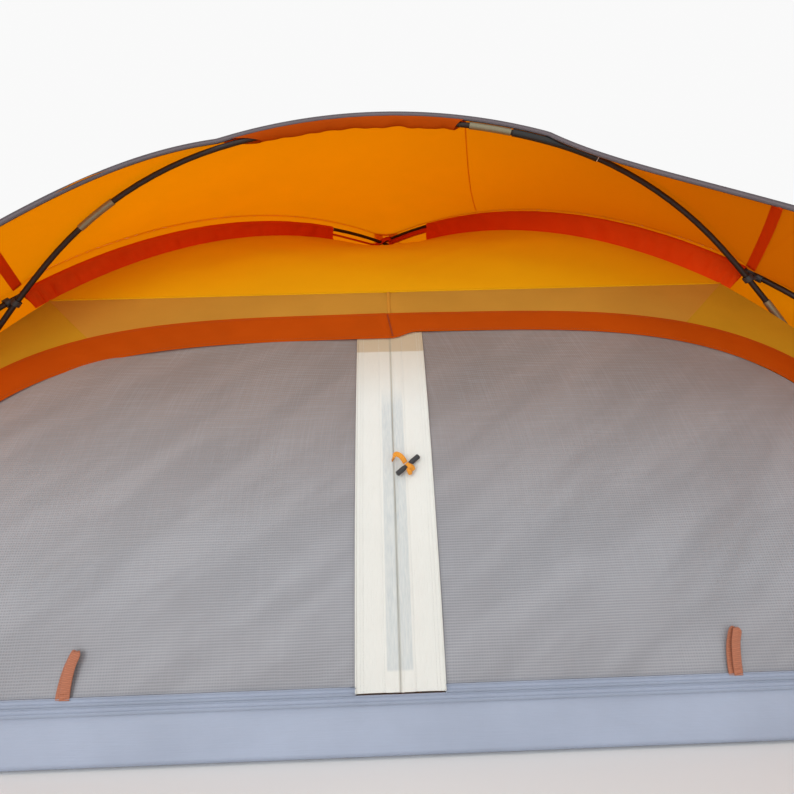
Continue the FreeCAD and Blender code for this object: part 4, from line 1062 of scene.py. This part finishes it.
def add_tub():
    u, v = rows_and_columns(480, 34)
    turn = u * 2 * math.pi
    cx, cy = np.cos(turn), np.sin(turn)
    reach = (np.abs(cx) ** TUB_POWER + np.abs(cy) ** TUB_POWER) ** (-1 / TUB_POWER)
    cx, cy = cx * reach, cy * reach
    rise = np.clip((v - FLOOR_ROWS) / (1 - FLOOR_ROWS), 0, 1)
    z = TUB_GAP + rise * (SILL - TUB_GAP)
    half = np.where(v < FLOOR_ROWS, np.clip(v / FLOOR_ROWS, 0, 1) * (FLOOR_HALF - 0.0015),
                    wall_half(z) - TUB_GAP)
    folds = ripple(91, cx * half, cy * half, 0.3, 0.4, 1.2) * 0.0006 * (v < 0.58) * (v > 0)
    sway = ripple(92, turn * 0.7, z, 0.25, 0.0, 0.4) * 0.0016 * fade(rise, 0.3)
    points = stack(cx * (half + sway), cy * (half + sway), z + np.abs(folds))
    panel("tub_cloth", points, "tub", "tub_floor")
    edge = wall_half(SILL) + 0.0008
    top = stack(cx[:, 0] * edge, cy[:, 0] * edge, SILL - 0.006)
    tube("tub_seam_tape", top[:-1], flat_section(0.0018, 0.012), "tub")


add_roof_and_walls()
add_header()
add_band()
add_front_corners()
add_tub()


# ---------------- door leaves and zip

DOOR_EDGE = 0.036              # where the netting begins, beside the zip
CORNER_TURN = math.pi / 4
HINGE_SIDE = DOOR_HALF + MM
LEAF_GROW = 0.004              # how far the netting runs in under the band
STRIP_OUT, STRIP_OUT_MOST, STRIP_SOFT = 0.0010, 0.0048, 0.0006
STRIP_COLUMNS = 40
ZIP_TEETH, ZIP_FOOT, ZIP_TOP = 178, 0.122, 0.660


def leaf_flat(u, v):
    """Door leaf in its own plane: four edge curves blended."""
    low, first_top = SILL + 0.002, SILL + DOOR_HEIGHT + LEAF_GROW
    edge_x, _ = door_outline(np.array(math.pi / 2), 0.002)
    top_x, top_z = door_outline(np.arcsin(math.sin(CORNER_TURN) * u ** BEND), LEAF_GROW)
    top_x = DOOR_EDGE + (top_x * (1 - DOOR_EDGE / top_x.max()))
    out_x, out_z = door_outline(mix(math.pi / 2, CORNER_TURN, v ** BEND), LEAF_GROW)
    out_z = np.maximum(out_z, low)
    corner_x, corner_z = door_outline(np.array(CORNER_TURN), LEAF_GROW)
    along_x = mix(mix(DOOR_EDGE, edge_x, u), top_x, v)
    along_z = mix(low, top_z, v)
    beside_x = mix(DOOR_EDGE, out_x, u)
    beside_z = mix(mix(low, first_top, v), out_z, u)
    square_x = mix(mix(DOOR_EDGE, edge_x, u), mix(DOOR_EDGE, corner_x, u), v)
    square_z = mix(low, mix(first_top, corner_z, u), v)
    return along_x + beside_x - square_x, along_z + beside_z - square_z


def add_leaf(name, side):
    u, v = rows_and_columns(90, 70)
    x, z = leaf_flat(u, v)
    calm = fade(np.clip((u - 0.05) / 0.95, 0, 1), 0.12) * fade(v, 0.08)
    pulled = (creases(101 + side, x, z, 0.17, 2.2) * 0.0044
              + ripple(103 + side, x, z, 0.22, 2.2, 0.35) * 0.0030)
    points = on_front(side * x, z)
    points[..., 1] += pulled * calm
    leaf = panel(f"mesh_leaf_{name}", points[::-side], "mesh", f"door_mesh_{name}",
                 None)
    foot = on_front(side * np.linspace(STRIP, DOOR_HALF - 0.004, 60), SILL + 0.006, 0.001)
    hem = tube(f"leaf_hem_{name}", foot, flat_section(0.0020, 0.010), "tub",
               body=None)
    hinge = on_front(side * HINGE_SIDE, SILL)
    for thing in (leaf, hem):
        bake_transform(thing)


def add_strip(name, side):
    body = f"door_{name}"
    low, high = SILL + 0.003, SILL + DOOR_HEIGHT + 0.003
    u, v = rows_and_columns(STRIP_COLUMNS, 130)
    x, z = side * mix(0.0001, STRIP, u), mix(low, high, v)
    wide = np.abs(x)
    fold = np.exp(-((wide - 0.0028) / 0.0022) ** 2) * (0.0026 if side > 0 else 0.0008)
    out = (0.0016 + fold + 0.0010 * np.exp(-((wide - 0.014) / 0.007) ** 2)
           + ripple(111 + side, x * 1.5, z, 0.09, 1.5, 0.25) * 0.0007 * fade(u, 0.15)
           + ripple(113 + side, x, z, 0.30, 1.3, 0.3) * 0.0012 * fade(v, 0.05)
           + creases(117 + side, x, z, 0.06, 1.1) * 0.0005 * fade(u, 0.2)
           - 0.0010 * np.exp(-((wide - 0.0235) / 0.0016) ** 2)
           + 0.0008 * np.clip((wide - 0.054) / 0.002, 0, 1))
    out = STRIP_OUT + np.logaddexp(0, (out + 0.0004) / STRIP_SOFT) * STRIP_SOFT
    out = mix(STRIP_OUT, STRIP_OUT_MOST * np.tanh(out / STRIP_OUT_MOST),
              np.clip((1 - v) / 0.05, 0, 1))
    points = on_front(x, z, out)
    panel(f"strip_cloth_{name}", points[::-side], "strip", f"door_strip_{name}",
          body)
    for share in (0.36, 0.82, 0.89):
        column = int(round(share * STRIP_COLUMNS))
        stitch(points[column] + stack(0, -0.0003, 0), (0, -1, 0.4), 0.0040, thick=0.0005)
    stitches_done(f"strip_stitches_{name}", "pale_thread", body)
    tube(f"strip_edge_{name}", points[-1] + stack(0, -0.0002, 0),
         flat_section(0.0030, 0.0014), "strip", (0, -1, 0.4), body)
    u, v = rows_and_columns(6, 80)
    x, z = side * mix(0.0036, 0.0152, u), mix(TAPE_FOOT[0], high - 0.004, v)
    tape = grid_object(f"tape_cloth_{name}", on_front(x, z, -0.0020)[::-side])
    dress(tape, "tape", body, (f"zip_tape_{name}",))
    teeth = on_front(side * 0.0024, np.linspace(ZIP_FOOT, ZIP_TOP, ZIP_TEETH), -0.0022)
    stitch(teeth, (0, -1, 0.4), 0.0030, share=0.72, thick=0.0016, cross=True)
    coil = stitches_done(f"coil_teeth_{name}", "coil", body)
    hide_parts(f"zip_coil_{name}")


for leaf_name, leaf_side in SIDES:
    add_leaf(leaf_name, leaf_side)
    add_strip(leaf_name, leaf_side)


# ---------------- pole sleeves

SLEEVE_START = {"left": math.radians(9.3), "right": math.radians(7.4)}
SLEEVE_END = HUB_ANGLE - math.radians(0.7)
SLEEVE_LOOP = 0.0088           # radius of the tunnel round the pole
LOOP_END = 2.0                 # turn, in radians, where the tunnel opens into its web


def sleeve_points(name, side, drop, seed):
    """Cloth tunnel round the pole, sewn to the roof's edge below it."""
    u, v = rows_and_columns(200, 22)
    angle = mix(SLEEVE_START[name], SLEEVE_END, u)
    centre_z = CROSS_Z - drop
    outward = stack(side * np.sin(angle) / ROOT2, -np.sin(angle) / ROOT2, np.cos(angle))
    sideways = stack(side / ROOT2, 1 / ROOT2, 0) * np.ones_like(outward)
    pole = outward * POLE_RADIUS + np.array([0, 0, centre_z])
    lift = centre_z - (ROOF_HEIGHT - ROOF_RADIUS)
    roof = -lift * np.cos(angle) + np.sqrt(ROOF_RADIUS ** 2 - (lift * np.sin(angle)) ** 2)
    depth = POLE_RADIUS - roof
    turn = mix(-math.pi, math.pi, v)
    looped = np.abs(turn) < LOOP_END
    web = np.clip((np.abs(turn) - LOOP_END) / (math.pi - LOOP_END), 0, 1)
    height = np.where(looped, SLEEVE_LOOP * np.cos(turn),
                      mix(SLEEVE_LOOP * math.cos(LOOP_END), -depth, web ** 1.1))
    across = np.where(looped, SLEEVE_LOOP * np.sin(turn),
                      np.sign(turn) * mix(SLEEVE_LOOP * math.sin(LOOP_END), 0.0008,
                                          web ** 0.7))
    run = (angle - SLEEVE_START[name]) * POLE_RADIUS
    pulled = (creases(seed, run, height, 0.075, 0.75) * 0.0016
              + ripple(seed + 5, run, height, 0.05, 0.6, 0.4) * 0.0012)
    gather = np.exp(-((u - 1) / 0.10) ** 2) * ripple(seed + 9, run, height, 0.022, 0.2, 0.3)
    across = (across + (pulled * 2.4 + gather * 0.0040) * np.sin(math.pi * web)
              + pulled * 0.5 * (web <= 0)
              + np.sign(turn) * 0.0009 * np.clip((0.013 - run) / 0.0015, 0, 1))
    return pole + outward * height[..., None] + sideways * across[..., None]


CROSSING_KNOT = (
    (((-0.046, -0.022, -0.020), (-0.026, -0.021, -0.010), (-0.006, -0.023, 0.002),
      (0.014, -0.021, 0.008), (0.030, -0.018, 0.004)), 0.016),
    (((-0.010, -0.025, -0.006), (0.006, -0.027, 0.002), (0.022, -0.024, -0.002),
      (0.026, -0.022, -0.012), (0.012, -0.023, -0.016)), 0.012))


def add_crossing_ribbons():
    """Ribbon that ties the crossed poles together and runs back into both sleeves."""
    middle = APEX - POLE_DROP / 2
    turn = np.linspace(0, 2 * math.pi, 41)
    swell = 1 + 0.06 * np.sin(5 * turn + 1)
    loop = stack(0.0180 * np.sin(turn) * swell, 0.0015 * np.sin(2 * turn),
                 middle + 0.0145 * np.cos(turn) * swell)
    outward = loop - np.array([0, 0, middle])
    tube("crossing_wrap", loop, flat_section(0.015, 0.0014), "sleeve", outward,
         nodes=("crossing_tie",))
    angle = np.linspace(math.radians(0.5), SLEEVE_START["right"] + math.radians(0.4), 30)
    sway = 0.0012 * np.sin(np.linspace(0, 7, 30))
    tube("crossing_ribbon_right",
         cross_point(angle, 1, -0.0150) + stack(0, -0.002 + sway, 0),
         flat_section(0.0012, 0.0130), "sleeve")
    angle = np.linspace(math.radians(0.8), SLEEVE_START["left"] + math.radians(0.3), 30)
    sag = 0.004 * arch(30)
    tube("crossing_ribbon_left", cross_point(angle, -1, -0.030) + stack(0, 0.002, -sag),
         flat_section(0.0012, 0.0055), "sleeve")
    for number, (places, size) in enumerate(CROSSING_KNOT):
        knot = smooth_path(np.array(places) + np.array([0, 0, middle]))
        tied = tube_along(f"crossing_knot_{number}", knot, flat_section(size, 0.0022),
                          (0, -1, 0.3))
        taper(tied, knot, 0.55 + 0.55 * arch(len(knot)))
        dress(tied, "sleeve")


def add_sleeves():
    for place, flip in (("front", 1), ("rear", -1)):
        for name, side in SIDES:
            drop = 0 if (side > 0) == (flip > 0) else POLE_DROP
            points = sleeve_points(name, side, drop, 121 + side + 7 * flip)
            panel(f"sleeve_cloth_{place}_{name}", points * np.array([1, flip, 1]), "sleeve",
                  f"sleeve_{place}_{name}")


add_sleeves()
add_crossing_ribbons()


# ---------------- pull, knot and tie loops

def slider_place(across, out, up):
    """Point beside the zip slider: sideways, out from the wall and up along it."""
    low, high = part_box("zip_slider")
    height = (low.z + high.z) / 2
    lean = math.atan2(height - WALL_Z, float(wall_half(height)) - WALL_R)
    outward = np.array([0, -math.cos(lean), math.sin(lean)])
    upward = np.array([0, math.sin(lean), math.cos(lean)])
    return on_front(0.0, height) + np.array([across, 0, 0]) + outward * out + upward * up


PULL_ROUTE = ((-0.0005, 0.0062, 0.0), (-0.001, 0.0125, 0.003), (0.004, 0.0175, 0.0065),
              (0.011, 0.019, 0.003), (0.0165, 0.0165, -0.003), (0.0195, 0.0125, -0.0075))
KNOT_TAILS = ((((0.0235, 0.0120, -0.0160), (0.0265, 0.0145, -0.0150),
                (0.0305, 0.0125, -0.0165), (0.0335, 0.0095, -0.0205)), 0.0072),
              (((0.0235, 0.0120, -0.0175), (0.0255, 0.0125, -0.0215),
                (0.0270, 0.0105, -0.0250), (0.0275, 0.0080, -0.0275)), 0.0062))
WRAP_RADIUS = 0.0048
LOOP_FOOT = SILL + 0.009
TIE_LOOPS = (("left", -0.4785), ("right", 0.4985))


def add_pull():
    route = smooth_path([slider_place(*place) for place in PULL_ROUTE])
    out = np.cross(np.gradient(route, axis=0), np.array((0.35, 0, 0.94)))
    tube("pull_ribbon_tape", route, flat_section(0.0088, 0.0011), "ribbon", -out,
         "toggle", ("pull_ribbon",))
    for number, (places, size) in enumerate(KNOT_TAILS):
        route = smooth_path([slider_place(*place) for place in places], 24)
        tail = tube_along(f"knot_tail_{number}", route, flat_section(size, 0.0026),
                          (0, -1, 0.5))
        taper(tail, route, 1.0 + 0.35 * arch(len(route)))
        dress(tail, "ribbon", "toggle", ("ribbon_knot",) if number == 0 else ())
    turn = np.linspace(0, 2 * math.pi, 25)[:, None]
    origin = slider_place(0, 0, 0)
    along = unit(np.array([0.77, 0, 0]) + 0.64 * (slider_place(0, 0, 1) - origin))
    outward = slider_place(0, 1, 0) - origin
    ring = (np.cos(turn) * outward + np.sin(turn) * np.cross(along, outward)) * WRAP_RADIUS
    tube("toggle_wrap", slider_place(0.0240, 0.0100, -0.0120) + ring,
         flat_section(0.0070, 0.0010), "ribbon", ring, "toggle")


def add_tie_loops():
    """Webbing folded into a pointed loop and sewn to each leaf's lower hem."""
    low = LOOP_FOOT
    places = ((-0.004, 0.0050, low), (-0.003, 0.0080, low + 0.022),
              (0.000, 0.0105, low + 0.044), (0.005, 0.0120, 0.148),
              (0.006, 0.0100, 0.1525), (0.002, 0.0074, 0.148),
              (-0.006, 0.0052, low + 0.038), (-0.010, 0.0040, low + 0.016),
              (-0.011, 0.0032, low))
    for name, middle in TIE_LOOPS:
        path = smooth_path([on_front(middle + x, z, out) for x, out, z in places], 72)
        rise = np.linspace(0, 1, len(path))
        outward = np.cross(np.gradient(path, axis=0), np.array([1.0, 0.12, 0.0]))
        loop = tube_along(f"tie_loop_webbing_{name}", path, flat_section(0.0140, 0.0015),
                          outward)
        taper(loop, path, 1 - 0.62 * np.exp(-((rise - 0.5) / 0.07) ** 2))
        dress(loop, "webbing", f"door_{name}", (f"tie_loop_{name}",))
        foot = on_front(middle - 0.006, low + 0.003, 0.0062)
        for shift in (0, 0.006):
            row = foot + stack(np.arange(12) * 0.001 - 0.005, 0, shift)
            stitch(row, (0, -1, 0.4), 0.0032)
        stitches_done(f"tie_loop_stitches_{name}", "thread", f"door_{name}")


add_pull()
add_tie_loops()


# ---------------- carried-over parts

CAD_LOOKS = {
    "pole": ("cross_pole_upper_sections", "cross_pole_lower_sections", "brow_pole_sections"),
    "ferrule": ("cross_pole_upper_ferrules", "cross_pole_lower_ferrules",
                "brow_pole_ferrules"),
    "cord": ("cross_pole_upper_shock_cord", "cross_pole_lower_shock_cord",
             "brow_pole_shock_cord"),
    "guard": ("brow_pole_guard",),
    "steel": ("pole_tips", "ground_rings"),
    "brass": ("foot_eyelets",),
    "webbing": ("pole_foot_tabs", "fly_straps"),
    "plastic": ("pull_toggle", "hub_clips", "buckle_front_left", "buckle_front_right",
                "buckle_rear_left", "buckle_rear_right"),
    "paint": ("zip_slider",),
}
for look, members in CAD_LOOKS.items():
    for member in members:
        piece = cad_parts[member]
        piece.data.materials.clear()
        piece.data.materials.append(LOOKS[look])
